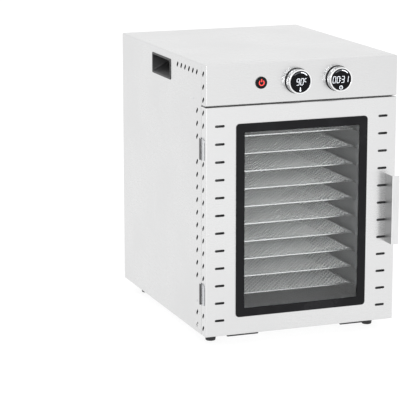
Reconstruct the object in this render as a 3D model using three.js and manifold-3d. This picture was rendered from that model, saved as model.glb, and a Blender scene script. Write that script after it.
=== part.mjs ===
// Ten-tray cabinet food dehydrator: a folded steel cabinet with a glazed door hinged on its left, a
// control panel above it, ten sliding mesh trays in a drying chamber, a fan and a ring heater behind.
// Millimetres, +Z up, the front faces -Y. Pieces are drawn with X = 0 on the cabinet's centre line,
// Y = 0 on the front face and Z = 0 on the floor; the exported group moves that frame so that the
// origin is the bottom centre of the whole object's box.
import * as THREE from "three";
import { mergeVertices } from "three/addons/utils/BufferGeometryUtils.js";
import Module from "manifold-3d";

const wasm = await Module();
wasm.setup();

// ---------------------------------------------------------------- driving dimensions

const gap = 0.3; // clearance left between pieces that touch
const sheet = 0.8; // steel sheet thickness
const bend = 2.5; // outer radius of a fold

const cabinet = { width: 350, depth: 438, height: 466 };
const foot = { height: 19, topRadius: 11, bottomRadius: 8.5, collar: 2, x: 148, frontY: 48, rearY: 390 };
const half = cabinet.width / 2;
const floorZ = foot.height; // underside of the cabinet
const topZ = floorZ + cabinet.height;

const doorDepth = 19.7; // front face to the free edge of the door's side walls
const seamY = 20; // joint line between door and cabinet on the side faces
const doorTopZ = floorZ + 394.7;
const panelBottomZ = floorZ + 396.7;

const chamber = { half: 122, bottomZ: 54, topZ: 383, frontY: 21.6, rearY: 384 };
const windowCentreZ = floorZ + 197.8;
const sight = { halfX: 105.3, halfZ: 151.85 }; // clear opening of the window
const borderWidth = 15.1;
const glazing = { halfX: 112, halfZ: 158.5 }; // hole in the door's front sheet

const tray = { count: 10, halfX: 115.5, frontY: 45, rearY: 375, rim: 2.5, web: 0.3, wall: 3 };
const topTrayZ = floorZ + 335; // middle of the top tray's rim
const trayPitch = 30.7;
const ledge = { reach: 8.7, thickness: 1.2, frontY: 30, rearY: 378 };

const slot = { length: 11, width: 5.2, lean: THREE.MathUtils.degToRad(38) }; // leaning vents
const slotPitch = 21.83;
const firstSlotZ = floorZ + 13.6;
const frontColumnY = 11.2;
const bodyColumnY = 40.4;
const topRow = { z: floorZ + 449.6, firstY: 41.6, pitch: 19, count: 6 };
const doorSlot = { x: 149.5, length: 17.4, width: 4.2, firstZ: floorZ + 27.8, pitch: 30.43, count: 12 };

const hinge = { x: -176, y: seamY, radius: 2.7, bore: 1.4, pin: 1.1, half: 18, knuckle: 6, leaf: 15.5 };
const hingeCentres = { upper: floorZ + 322.8, lower: floorZ + 72.1 };

const controlsZ = floorZ + 432;
const knob = { radius: 21, depth: 16, displayRadius: 18, column: 13, bezelRadius: 21.9 };
const knobX = { temperature: -11.5, time: 63 };
const button = { x: -76, radius: 8.3, bezelRadius: 10.2 };

const grip = { y: 219.5, z: floorZ + 435.3, length: 96.5, height: 36.3, lip: 4, proud: 1.1, depth: 26 };
const handle = { x: 157.5, depth: 27, flange: 12.5, thickness: 1.5, centreZ: floorZ + 201, length: 120 };

const fan = { z: 219, radius: 62, frontY: 390, rearY: 408, blades: 8, shaft: 3 };
const rearPanelY = 434.8;

// ---------------------------------------------------------------- solids from three.js geometry

// A closed geometry as a manifold-3d solid, turned right side out if its winding was reversed.
function solid(geometry) {
  const bare = new THREE.BufferGeometry();
  bare.setAttribute("position", geometry.getAttribute("position"));
  bare.setIndex(geometry.index);
  const merged = mergeVertices(bare, 1e-4);
  const build = (indices) =>
    new wasm.Manifold(
      new wasm.Mesh({
        numProp: 3,
        vertProperties: new Float32Array(merged.attributes.position.array),
        triVerts: indices,
      }),
    );
  const indices = new Uint32Array(merged.index.array);
  const made = build(indices);
  return made.volume() < 0 ? build(indices.reverse()) : made;
}

function geometryOf(manifold) {
  const mesh = manifold.getMesh();
  const geometry = new THREE.BufferGeometry();
  geometry.setAttribute("position", new THREE.BufferAttribute(mesh.vertProperties, 3));
  geometry.setIndex(new THREE.BufferAttribute(mesh.triVerts, 1));
  geometry.computeVertexNormals();
  return geometry;
}

function box([x0, x1], [y0, y1], [z0, z1]) {
  const geometry = new THREE.BoxGeometry(x1 - x0, y1 - y0, z1 - z0);
  return solid(geometry.translate((x0 + x1) / 2, (y0 + y1) / 2, (z0 + z1) / 2));
}

// A shape drawn as (x, z), given thickness from y0 to y1.
function extrudeY(shape, y0, y1, curveSegments = 2) {
  const options = { depth: y1 - y0, bevelEnabled: false, curveSegments };
  const geometry = new THREE.ExtrudeGeometry(shape, options);
  return solid(geometry.rotateX(Math.PI / 2).translate(0, y1, 0));
}

// A shape drawn as (y, z), given thickness from x0 to x1.
function extrudeX(shape, x0, x1, curveSegments = 2) {
  const options = { depth: x1 - x0, bevelEnabled: false, curveSegments };
  const geometry = new THREE.ExtrudeGeometry(shape, options);
  const turn = new THREE.Matrix4().makeBasis(
    new THREE.Vector3(0, 1, 0),
    new THREE.Vector3(0, 0, 1),
    new THREE.Vector3(1, 0, 0),
  );
  return solid(geometry.applyMatrix4(turn).translate(x0, 0, 0));
}

// A shape drawn as (x, y), given thickness from z0 to z1.
function extrudeZ(shape, z0, z1, curveSegments = 2) {
  const options = { depth: z1 - z0, bevelEnabled: false, curveSegments };
  return solid(new THREE.ExtrudeGeometry(shape, options).translate(0, 0, z0));
}

// A rectangle whose corners are rounded; the radii run anticlockwise from the lower left corner.
function rectangle([x0, x1], [y0, y1], radii = 0) {
  const [a, b, c, d] = Array.isArray(radii) ? radii : [radii, radii, radii, radii];
  const shape = new THREE.Shape();
  shape.moveTo(x0 + a, y0).lineTo(x1 - b, y0);
  if (b) shape.absarc(x1 - b, y0 + b, b, -Math.PI / 2, 0);
  shape.lineTo(x1, y1 - c);
  if (c) shape.absarc(x1 - c, y1 - c, c, 0, Math.PI / 2);
  shape.lineTo(x0 + d, y1);
  if (d) shape.absarc(x0 + d, y1 - d, d, Math.PI / 2, Math.PI);
  shape.lineTo(x0, y0 + a);
  if (a) shape.absarc(x0 + a, y0 + a, a, Math.PI, 1.5 * Math.PI);
  return shape;
}

// A slot with round ends about (x, y), its long axis turned by an angle from the first axis.
function stadium(x, y, length, width, angle = 0) {
  const reach = (length - width) / 2;
  const [dx, dy] = [reach * Math.cos(angle), reach * Math.sin(angle)];
  const shape = new THREE.Shape();
  shape.absarc(x + dx, y + dy, width / 2, angle - Math.PI / 2, angle + Math.PI / 2);
  shape.absarc(x - dx, y - dy, width / 2, angle + Math.PI / 2, angle + 1.5 * Math.PI);
  return shape;
}

function disc(x, y, radius) {
  return new THREE.Shape().absarc(x, y, radius, 0, 2 * Math.PI);
}

// A profile of [radius, height] pairs turned about the vertical line through (x, y).
function turnedZ(profile, x, y, segments = 18) {
  const points = profile.map(([r, h]) => new THREE.Vector2(r, h));
  const geometry = new THREE.LatheGeometry(points, segments);
  return solid(geometry.rotateX(Math.PI / 2).translate(x, y, 0));
}

// A profile of [radius, y] pairs turned about the line along Y through (x, z).
function turnedY(profile, x, z, segments = 28) {
  const points = profile.map(([r, h]) => new THREE.Vector2(r, h));
  return solid(new THREE.LatheGeometry(points, segments).translate(x, 0, z));
}

const join = (...solids) => wasm.Manifold.union(solids);
const cut = (body, ...tools) => body.subtract(join(...tools));

// ---------------------------------------------------------------- finishes

const finish = (color, roughness, metalness, more = {}) =>
  new THREE.MeshStandardMaterial({ color, roughness, metalness, ...more });
const satinSteel = () => finish(0xd9dadc, 0.38, 0.9);
const linerSteel = () => finish(0x8d9093, 0.45, 0.9);
const traySteel = () => finish(0xc4c7ca, 0.35, 1);
const blackPlastic = () => finish(0x141415, 0.55, 0);
const blackGloss = () => finish(0x0b0b0d, 0.12, 0);
const rubber = () => finish(0x161616, 0.85, 0);
const brightMetal = () => finish(0xd5d7da, 0.28, 1);
const boardGreen = () => finish(0x1d5a33, 0.5, 0);
const motorGrey = () => finish(0x55585c, 0.5, 0.6);

const body = new THREE.Group();
function piece(name, shape, material, group = body) {
  const mesh = new THREE.Mesh(geometryOf(shape), material);
  mesh.name = name;
  group.add(mesh);
}

// ---------------------------------------------------------------- shared cutters

const columnZ = (k) => firstSlotZ + k * slotPitch;
const hingeGaps = [2, 3, 14, 15];
const bodyColumnGaps = [2, 3, 14];
const columnCount = 21;
const panelSlots = 3; // the top ones of the front column sit in the control panel's side walls

const leaningSlot = (y, z) =>
  extrudeX(stadium(y, z, slot.length, slot.width, Math.PI / 2 + slot.lean), -half - 5, half + 5);

// The bent box that the door and the control panel share: folds at its front corners.
function foldedBox([x0, x1], [y0, y1], [z0, z1], radius, topFold) {
  const frontFolds = extrudeZ(rectangle([x0, x1], [y0, y1], [radius, radius, 0, 0]), z0, z1);
  const sideView = rectangle([y0, y1], [z0, z1], topFold ? [0, 0, 0, radius] : [radius, 0, 0, radius]);
  const folded = frontFolds.intersect(extrudeX(sideView, x0, x1));
  if (!topFold) return folded;
  return folded.intersect(extrudeY(rectangle([x0, x1], [z0, z1], [0, 0, radius, radius]), y0, y1));
}

function foldedShell([x0, x1], [y0, y1], [z0, z1], topFold) {
  const outside = foldedBox([x0, x1], [y0, y1], [z0, z1], bend, topFold);
  const inside = foldedBox(
    [x0 + sheet, x1 - sheet],
    [y0 + sheet, y1 + sheet],
    [z0 + sheet, z1 - sheet],
    bend - sheet,
    topFold,
  );
  return cut(outside, inside);
}

const hingeNotches = (y0, y1) =>
  Object.values(hingeCentres).map((z) =>
    box([-half - 1, -half + 2], [y0, y1], [z - hinge.half - 1.4, z + hinge.half + 1.4]),
  );

// ---------------------------------------------------------------- cabinet shell

function outerWrap() {
  const outline = rectangle([-half, half], [floorZ, topZ], [0, 0, bend, bend]);
  const inside = rectangle(
    [-half + sheet, half - sheet],
    [floorZ - sheet, topZ - sheet],
    [0, 0, bend - sheet, bend - sheet],
  );
  const shell = cut(
    extrudeY(outline, seamY + gap, cabinet.depth),
    extrudeY(inside, seamY, cabinet.depth + 1),
  );
  const vents = [];
  for (let k = 0; k < columnCount - panelSlots; k++)
    if (!bodyColumnGaps.includes(k)) vents.push(leaningSlot(bodyColumnY, columnZ(k)));
  for (let i = 0; i < topRow.count; i++)
    vents.push(leaningSlot(topRow.firstY + i * topRow.pitch, topRow.z));
  const cupHole = [grip.length / 2 - grip.lip / 2, grip.height / 2 - grip.lip / 2];
  const gripHoles = box(
    [-half - 1, half + 1],
    [grip.y - cupHole[0], grip.y + cupHole[0]],
    [grip.z - cupHole[1], grip.z + cupHole[1]],
  );
  return cut(shell, gripHoles, ...vents, ...hingeNotches(seamY, seamY + 3.2));
}

const panelFit = half - sheet - 0.4; // half width of what slides into the wrap

function basePan() {
  const [x, y0, y1, height] = [panelFit, chamber.frontY + 0.1, rearPanelY - 0.4, 15];
  return cut(
    box([-x, x], [y0, y1], [floorZ, floorZ + height]),
    box([-x + sheet, x - sheet], [y0 + sheet, y1 - sheet], [floorZ + sheet, floorZ + height + 1]),
  );
}

const inlet = { x: 118, z: 66, halfX: 21, halfZ: 11 };
const intake = { count: 9, pitch: 11, width: 4.5, reach: 62 };

function rearPanel() {
  const x = panelFit;
  const sheetShape = rectangle([-x, x], [floorZ + sheet + 0.4, topZ - sheet - 0.4], 2);
  const slots = [];
  for (let i = 0; i < intake.count; i++) {
    const offset = (i - (intake.count - 1) / 2) * intake.pitch;
    const length = 2 * Math.sqrt(intake.reach ** 2 - offset ** 2);
    const shape = stadium(0, fan.z + offset, length, intake.width);
    slots.push(extrudeY(shape, rearPanelY - 1, rearPanelY + 3));
  }
  const inletHole = box(
    [inlet.x - inlet.halfX - gap, inlet.x + inlet.halfX + gap],
    [rearPanelY - 1, rearPanelY + 3],
    [inlet.z - inlet.halfZ - gap, inlet.z + inlet.halfZ + gap],
  );
  return cut(extrudeY(sheetShape, rearPanelY, rearPanelY + 1.2), inletHole, ...slots);
}

function controlPanel() {
  const shell = foldedShell([-half, half], [0, seamY], [panelBottomZ, topZ], true);
  const vents = [];
  for (let k = columnCount - panelSlots; k < columnCount; k++)
    vents.push(leaningSlot(frontColumnY, columnZ(k)));
  const holes = Object.values(knobX).map((x) =>
    extrudeY(disc(x, controlsZ, knob.column + 1), -1, 3, 12),
  );
  holes.push(extrudeY(disc(button.x, controlsZ, button.radius + 0.7), -1, 3, 10));
  return cut(shell, ...vents, ...holes);
}

function dividerShelf() {
  return box([-panelFit, panelFit], [seamY + 0.6, rearPanelY - 0.4], [panelBottomZ, panelBottomZ + sheet]);
}

const magnet = { x: 150, z: 230, halfX: 8, halfZ: 18 };

function frontFrame() {
  const plate = box([-172, 172], [seamY + gap, seamY + gap + sheet], [floorZ, panelBottomZ - 0.4]);
  const mouth = box(
    [-chamber.half, chamber.half],
    [seamY - 1, seamY + 3],
    [chamber.bottomZ, chamber.topZ],
  );
  const magnetHole = box(
    [magnet.x - magnet.halfX - 0.5, magnet.x + magnet.halfX + 0.5],
    [seamY - 1, seamY + 3],
    [magnet.z - magnet.halfZ - 0.5, magnet.z + magnet.halfZ + 0.5],
  );
  return cut(plate, mouth, magnetHole);
}

piece("outer_wrap", outerWrap(), satinSteel());
piece("base_pan", basePan(), satinSteel());
piece("rear_panel", rearPanel(), satinSteel());
piece("control_panel", controlPanel(), satinSteel());
piece("divider_shelf", dividerShelf(), linerSteel());
piece("front_frame", frontFrame(), satinSteel());

// Rubber feet screwed under the base pan.
function footShape(x, y) {
  const [low, high] = [0, floorZ - gap];
  const profile = [
    [0, low],
    [foot.bottomRadius - 1.5, low],
    [foot.bottomRadius, low + 1.5],
    [foot.topRadius, high - foot.collar],
    [foot.topRadius, high],
    [0, high],
  ];
  return turnedZ(profile, x, y);
}

for (const [side, x] of [["left", -foot.x], ["right", foot.x]]) {
  piece(`front_${side}_foot`, footShape(x, foot.frontY), rubber());
  piece(`rear_${side}_foot`, footShape(x, foot.rearY), rubber());
}

// Carrying grips: plastic cups let into both sides, the floor of each sloping up to the back.
function gripCup(side) {
  const [y0, y1] = [grip.y - grip.length / 2, grip.y + grip.length / 2];
  const [z0, z1] = [grip.z - grip.height / 2, grip.z + grip.height / 2];
  const wall = 1.5;
  const edge = grip.lip / 2 + gap; // cup wall to the outer edge of the lip
  const inner = half - grip.depth;
  const section = (grow, back, mouth) => {
    const shape = new THREE.Shape();
    shape.moveTo(mouth, z0 + edge + wall - grow);
    shape.lineTo(inner - back, grip.z - 2 - grow);
    shape.lineTo(inner - back, z1 - edge - wall + grow);
    shape.lineTo(mouth, z1 - edge - wall + grow);
    return shape;
  };
  const lip = extrudeX(rectangle([y0, y1], [z0, z1], 2), half + gap, half + grip.proud);
  const shell = extrudeY(section(wall, wall, half + gap), y0 + edge, y1 - edge);
  const hollow = extrudeY(section(0, 0, half + 3), y0 + edge + wall, y1 - edge - wall);
  const cup = cut(join(lip, shell), hollow);
  return side === "right" ? cup : cup.mirror([1, 0, 0]);
}

piece("left_grip_cup", gripCup("left"), blackPlastic());
piece("right_grip_cup", gripCup("right"), blackPlastic());

// ---------------------------------------------------------------- drying chamber

const trayZ = (k) => topTrayZ - k * trayPitch;

function linerSide(side) {
  const wall = box(
    [chamber.half, chamber.half + sheet],
    [chamber.frontY, chamber.rearY],
    [chamber.bottomZ, chamber.topZ],
  );
  const ledges = [];
  for (let k = 0; k < tray.count; k++) {
    const top = trayZ(k) - tray.rim / 2 - gap;
    ledges.push(
      box(
        [chamber.half - ledge.reach, chamber.half + sheet / 2],
        [ledge.frontY, ledge.rearY],
        [top - ledge.thickness, top],
      ),
    );
  }
  const liner = join(wall, ...ledges);
  return side === "right" ? liner : liner.mirror([1, 0, 0]);
}

function linerPlate(z0) {
  const x = chamber.half + sheet;
  return box([-x, x], [chamber.frontY, chamber.rearY], [z0, z0 + sheet]);
}

const baffle = { fanHole: 70, portX: 100, portHalfX: 13, portHalfZ: 3 };

function airBaffle() {
  const x = chamber.half + sheet;
  const low = chamber.bottomZ - gap - sheet;
  const high = chamber.topZ + gap + sheet;
  const plate = box([-x, x], [chamber.rearY + gap, chamber.rearY + gap + sheet], [low, high]);
  const through = [chamber.rearY, chamber.rearY + 3];
  const holes = [extrudeY(disc(0, fan.z, baffle.fanHole), ...through, 16)];
  for (const x of [-baffle.portX, baffle.portX])
    for (let k = 0; k < tray.count; k++) {
      const z = trayZ(k) - trayPitch / 2;
      const [across, up] = [baffle.portHalfX, baffle.portHalfZ];
      holes.push(box([x - across, x + across], through, [z - up, z + up]));
    }
  return cut(plate, ...holes);
}

// Trays: shallow pans; the sheet inside the rim stands for the fine mesh.
function trayShape(z) {
  const [low, high] = [z - tray.rim / 2, z + tray.rim / 2];
  const pan = box([-tray.halfX, tray.halfX], [tray.frontY, tray.rearY], [low, high]);
  const pocket = box(
    [-tray.halfX + tray.wall, tray.halfX - tray.wall],
    [tray.frontY + tray.wall, tray.rearY - tray.wall],
    [low + tray.web, high + 1],
  );
  return cut(pan, pocket);
}

piece("liner_left", linerSide("left"), linerSteel());
piece("liner_right", linerSide("right"), linerSteel());
piece("liner_top", linerPlate(chamber.topZ + gap), linerSteel());
piece("liner_floor", linerPlate(chamber.bottomZ - gap - sheet), linerSteel());
piece("air_baffle", airBaffle(), linerSteel());
for (let k = 0; k < tray.count; k++)
  piece(`tray_${String(k + 1).padStart(2, "0")}`, trayShape(trayZ(k)), traySteel());

// ---------------------------------------------------------------- fan and heater

const guard = { radius: 76, frontY: 382, rearY: 383.5, rings: [[18, 40], [44, 68]], spokes: 6 };

function fanGuard() {
  const windows = [];
  const step = (2 * Math.PI) / guard.spokes;
  const halfSpoke = 0.07; // half the angle that a spoke takes
  for (const [inner, outer] of guard.rings)
    for (let i = 0; i < guard.spokes; i++) {
      const [a, b] = [i * step + halfSpoke, (i + 1) * step - halfSpoke];
      const shape = new THREE.Shape();
      shape.absarc(0, 0, outer, a, b).absarc(0, 0, inner, b, a, true);
      windows.push(extrudeY(shape, guard.frontY - 2, guard.rearY + 2, 3).translate([0, 0, fan.z]));
    }
  return cut(extrudeY(disc(0, fan.z, guard.radius), guard.frontY, guard.rearY, 16), ...windows);
}

function fanImpeller() {
  const hub = extrudeY(disc(0, fan.z, 9), fan.frontY, fan.rearY, 8);
  const plate = extrudeY(disc(0, fan.z, fan.radius), fan.rearY - 1.5, fan.rearY, 14);
  const blades = [];
  for (let i = 0; i < fan.blades; i++) {
    const blade = box([6, fan.radius - 2], [fan.frontY + 1, fan.rearY - 1], [-0.8, 0.8]);
    blades.push(blade.rotate([0, (360 * i) / fan.blades, 0]).translate([0, 0, fan.z]));
  }
  const bore = extrudeY(disc(0, fan.z, fan.shaft + gap), fan.frontY - 1, fan.rearY + 1, 6);
  return cut(join(hub, plate, ...blades), bore);
}

const motor = { radius: 32, chamfer: 2, bore: fan.shaft + 0.4 };
const bracket = { halfX: 90, halfZ: 14, wall: 1.5, bore: 8 };

function fanMotor() {
  const [front, rear, inner] = [fan.rearY + 3.8, rearPanelY - 2.8, motor.radius - motor.chamfer];
  const profile = [
    [0, rear - 2],
    [motor.bore, rear - 2],
    [motor.bore, front],
    [inner, front],
    [motor.radius, front + motor.chamfer],
    [motor.radius, rear - motor.chamfer],
    [inner, rear],
    [0, rear],
  ];
  return turnedY(profile, 0, fan.z);
}

function motorBracket() {
  const [front, rear] = [chamber.rearY + gap + sheet + gap, fan.rearY + 3.5];
  const [x, z, wall] = [bracket.halfX, bracket.halfZ, bracket.wall];
  const outer = box([-x, x], [front, rear], [fan.z - z, fan.z + z]);
  const hollow = box([-x + wall, x - wall], [front - 1, rear - wall], [fan.z - z - 1, fan.z + z + 1]);
  return cut(outer, hollow, extrudeY(disc(0, fan.z, bracket.bore), rear - 3, rear + 1, 6));
}

// The rod heater is a ring round the fan.
function heaterElement() {
  const [ring, tube, y] = [76, 3.5, 397];
  const profile = [];
  for (let i = 0; i <= 6; i++) {
    const angle = (i * Math.PI) / 3;
    profile.push([ring + tube * Math.cos(angle), y + tube * Math.sin(angle)]);
  }
  return turnedY(profile, 0, fan.z);
}

piece("fan_guard", fanGuard(), linerSteel());
piece("fan_impeller", fanImpeller(), brightMetal());
piece("motor_shaft", extrudeY(disc(0, fan.z, fan.shaft), fan.frontY - 1, rearPanelY - 6, 6), brightMetal());
piece("fan_motor", fanMotor(), motorGrey());
piece("motor_bracket", motorBracket(), linerSteel());
piece("heater_element", heaterElement(), finish(0x6d625c, 0.4, 0.9));

// ---------------------------------------------------------------- controls

// The display stays still inside its turning ring, on a column through the panel.
function displayModule(x) {
  const [front, shoulder, rear, chamfer] = [-knob.depth + 0.5, -4, 8.8, 0.6];
  const profile = [
    [0, rear],
    [knob.column, rear],
    [knob.column, shoulder],
    [knob.displayRadius, shoulder],
    [knob.displayRadius, front + chamfer],
    [knob.displayRadius - chamfer, front],
    [0, front],
  ];
  return turnedY(profile, x, controlsZ);
}

function knobRing(x) {
  const [front, rear] = [-knob.depth, -1.7];
  const [inner, bore] = [knob.displayRadius + gap, knob.column + 0.5];
  const profile = [
    [inner, front + 0.4],
    [inner, -3.6],
    [bore, -3.6],
    [bore, rear],
    [knob.radius, rear],
    [knob.radius, front + 1.6],
    [knob.radius - 1.4, front],
    [inner + 0.4, front],
    [inner, front + 0.4],
  ];
  return turnedY(profile, x, controlsZ, 36);
}

const ringAt = (x, inner, outer, y0, y1, segments) =>
  cut(
    extrudeY(disc(x, controlsZ, outer), y0, y1, segments),
    extrudeY(disc(x, controlsZ, inner), y0 - 1, y1 + 1, segments),
  );

// A broad cap on a short stem.
function powerButton() {
  const [front, chamfer, under, end, stem] = [-2.5, 0.7, 2.6, 5.5, 3];
  const profile = [
    [0, end],
    [stem, end],
    [stem, under],
    [button.radius, under],
    [button.radius, front + chamfer],
    [button.radius - chamfer, front],
    [0, front],
  ];
  return turnedY(profile, button.x, controlsZ);
}

// Circuit boards, each with its larger parts.
function controlBoard() {
  const board = box([-104, 98], [9.2, 10.8], [floorZ + 403, floorZ + 455]);
  const chip = box([15, 37], [10.4, 13.5], [controlsZ - 11, controlsZ + 11]);
  const connector = box([-48, -30], [10.4, 18], [controlsZ + 6, controlsZ + 16]);
  return join(board, chip, connector);
}

function powerBoard() {
  const base = panelBottomZ + sheet + gap;
  const parts = [
    box([40, 140], [300, 400], [base + 5, base + 6.6]),
    box([52, 92], [312, 346], [base + 6, base + 36]),
    box([104, 130], [312, 334], [base + 6, base + 24]),
    box([104, 126], [350, 366], [base + 6, base + 22]),
    extrudeZ(disc(66, 376, 9), base + 6, base + 30),
  ];
  for (const x of [46, 134])
    for (const y of [306, 394]) parts.push(extrudeZ(disc(x, y, 3), base, base + 5.5, 3));
  return join(...parts);
}

function powerInlet() {
  const flange = extrudeY(
    rectangle([inlet.x - 25, inlet.x + 25], [inlet.z - 14, inlet.z + 14], 3),
    rearPanelY + 1.5,
    cabinet.depth - gap,
  );
  const housing = box(
    [inlet.x - inlet.halfX, inlet.x + inlet.halfX],
    [rearPanelY - 18, rearPanelY + 2],
    [inlet.z - inlet.halfZ, inlet.z + inlet.halfZ],
  );
  const socket = rectangle([inlet.x - 12.5, inlet.x + 12.5], [inlet.z - 8.5, inlet.z + 8.5], [1, 1, 5, 5]);
  return cut(join(flange, housing), extrudeY(socket, rearPanelY - 15, cabinet.depth + 1));
}

for (const [name, x] of Object.entries(knobX)) {
  piece(`${name}_display`, displayModule(x), blackGloss());
  piece(`${name}_knob`, knobRing(x), brightMetal());
  piece(`${name}_bezel`, ringAt(x, knob.column + 1.2, knob.bezelRadius, -1.4, -gap, 16), blackPlastic());
}
piece("power_button", powerButton(), blackPlastic());
const buttonRing = ringAt(button.x, button.radius + 0.4, button.bezelRadius, -2.2, -gap, 12);
piece("power_bezel", buttonRing, blackPlastic());
piece("control_board", controlBoard(), boardGreen());
piece("power_board", powerBoard(), boardGreen());
piece("power_inlet", powerInlet(), blackPlastic());

// ---------------------------------------------------------------- door

const door = new THREE.Group();
body.add(door);

function doorSkin() {
  const shell = foldedShell([-half, half], [0, doorDepth], [floorZ, doorTopZ], false);
  const hole = box(
    [-glazing.halfX, glazing.halfX],
    [-1, 3],
    [windowCentreZ - glazing.halfZ, windowCentreZ + glazing.halfZ],
  );
  const vents = [];
  for (let k = 0; k < columnCount - panelSlots; k++)
    if (!hingeGaps.includes(k)) vents.push(leaningSlot(frontColumnY, columnZ(k)));
  for (let i = 0; i < doorSlot.count; i++)
    for (const x of [-doorSlot.x, doorSlot.x]) {
      const shape = stadium(x, doorSlot.firstZ + i * doorSlot.pitch, doorSlot.length, doorSlot.width);
      vents.push(extrudeY(shape, -1, 3));
    }
  return cut(shell, hole, ...vents, ...hingeNotches(seamY - 3, seamY + 1));
}

// A flat frame about the window's centre, between an outer and an inner rectangle.
function frameAround(outer, inner, y0, y1, outerRadius = 0, innerRadius = 0) {
  const rect = ({ halfX, halfZ }, radius) =>
    rectangle([-halfX, halfX], [windowCentreZ - halfZ, windowCentreZ + halfZ], radius);
  return cut(
    extrudeY(rect(outer, outerRadius), y0, y1),
    extrudeY(rect(inner, innerRadius), y0 - 1, y1 + 1),
  );
}

const grown = ({ halfX, halfZ }, by) => ({ halfX: halfX + by, halfZ: halfZ + by });

function windowBorder() {
  const face = frameAround(grown(sight, borderWidth), sight, -1.5, -gap, 6, 1.5);
  const sleeve = frameAround(grown(glazing, -gap), grown(glazing, -1.8), -1, 4.8);
  return join(face, sleeve);
}

const linerSleeve = grown(sight, 2.7);

const linerPlateY = [15, 16];

function doorLiner() {
  const x = half - sheet - gap;
  const { halfX, halfZ } = linerSleeve;
  const plate = cut(
    box([-x, x], linerPlateY, [floorZ + sheet + gap, doorTopZ - sheet - gap]),
    box([-halfX, halfX], [14, 17], [windowCentreZ - halfZ, windowCentreZ + halfZ]),
  );
  return join(plate, frameAround(grown(linerSleeve, sheet), linerSleeve, 5.6, 15.5));
}

// The pane is let into the back of the border.
function windowPane() {
  const { halfX, halfZ } = grown(glazing, -2.1);
  return box([-halfX, halfX], [0.2, 3.2], [windowCentreZ - halfZ, windowCentreZ + halfZ]);
}

function doorGasket() {
  return frameAround({ halfX: 134, halfZ: 172 }, { halfX: 126, halfZ: 167 }, 16.3, seamY - 0.1, 8, 4);
}

function doorHandle() {
  const [x0, x1] = [handle.x - handle.thickness / 2, handle.x + handle.flange];
  const [front, t] = [-handle.depth, handle.thickness];
  const shape = new THREE.Shape();
  shape.moveTo(x0 + 2, front).lineTo(x1, front).lineTo(x1, front + t).lineTo(x0 + t + 0.5, front + t);
  shape.absarc(x0 + t + 0.5, front + t + 0.5, 0.5, -Math.PI / 2, Math.PI, true);
  shape.lineTo(x0 + t, -gap).lineTo(x0, -gap).lineTo(x0, front + 2);
  shape.absarc(x0 + 2, front + 2, 2, Math.PI, 1.5 * Math.PI);
  return extrudeZ(shape, handle.centreZ - handle.length / 2, handle.centreZ + handle.length / 2);
}

const strip = { x: 105.3, y: 6, length: 58, width: 5, thickness: 2.7 };

function bumperStrip(x) {
  const outline = stadium(x, strip.y, strip.length, strip.width);
  return extrudeZ(outline, floorZ - gap - strip.thickness, floorZ - gap);
}

piece("door_skin", doorSkin(), satinSteel(), door);
piece("door_liner", doorLiner(), linerSteel(), door);
piece("window_border", windowBorder(), blackGloss(), door);
const clearGlass = finish(0x9aa0a4, 0.05, 0, { transparent: true, opacity: 0.3 });
piece("window_glass", windowPane(), clearGlass, door);
piece("door_gasket", doorGasket(), rubber(), door);
piece("door_handle", doorHandle(), satinSteel(), door);
piece("left_door_strip", bumperStrip(-strip.x), rubber(), door);
piece("right_door_strip", bumperStrip(strip.x), rubber(), door);

// Magnetic catch: the magnet in the cabinet's front frame, its strike on the door.
piece(
  "door_magnet",
  box(
    [magnet.x - magnet.halfX, magnet.x + magnet.halfX],
    [seamY + gap + 0.1, seamY + 12],
    [magnet.z - magnet.halfZ, magnet.z + magnet.halfZ],
  ),
  motorGrey(),
);
piece(
  "strike_plate",
  box([magnet.x - 9, magnet.x + 9], [16.3, 19.6], [magnet.z - 19, magnet.z + 19]),
  brightMetal(),
  door,
);

// ---------------------------------------------------------------- hinges

// A length of hinge barrel about the hinge line, from z0 to z1, with its bore left solid.
const barrel = (z0, z1) => extrudeZ(disc(hinge.x, hinge.y, hinge.radius), z0, z1, 6);
const hingeBore = (z) =>
  extrudeZ(disc(hinge.x, hinge.y, hinge.bore), z - hinge.half - 1, z + hinge.half + 1, 4);

function doorLeaf(z) {
  const [x0, x1] = [-half - gap - 1, -half - gap];
  const rear = hinge.y - hinge.radius - 0.4;
  const plate = extrudeX(
    rectangle([rear - hinge.leaf + 3, rear], [z - hinge.half, z + hinge.half], [4, 0, 0, 4]),
    x0,
    x1,
  );
  const tabs = [[-hinge.half, -hinge.knuckle - 0.2], [hinge.knuckle + 0.2, hinge.half]];
  const ends = tabs.map(([low, high]) =>
    join(barrel(z + low, z + high), box([x0, x1], [rear - 1, hinge.y - 2], [z + low, z + high])),
  );
  return cut(join(plate, ...ends), hingeBore(z));
}

function bodyLeaf(z) {
  const [low, high] = [z - hinge.knuckle + 0.1, z + hinge.knuckle - 0.1];
  const inside = -half + sheet + 0.4;
  const web = box([-half - 0.4, inside + 1], [hinge.y + 0.8, hinge.y + 2.6], [low, high]);
  const plate = box([inside, inside + 1], [hinge.y + 1.8, 38], [z - hinge.half, z + hinge.half]);
  return cut(join(barrel(low, high), web, plate), hingeBore(z));
}

function hingePin(z) {
  const [low, high] = [z - hinge.half - 0.5, z + hinge.half + gap];
  const head = [[hinge.radius - 0.5, high], [hinge.radius - 0.5, high + 0.8], [0, high + 0.8]];
  return turnedZ([[0, low], [hinge.pin, low], [hinge.pin, high], ...head], hinge.x, hinge.y, 12);
}

for (const [name, z] of Object.entries(hingeCentres)) {
  piece(`${name}_hinge_door_leaf`, doorLeaf(z), brightMetal(), door);
  piece(`${name}_hinge_body_leaf`, bodyLeaf(z), brightMetal());
  piece(`${name}_hinge_pin`, hingePin(z), brightMetal());
}

// ---------------------------------------------------------------- frame of the part

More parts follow.
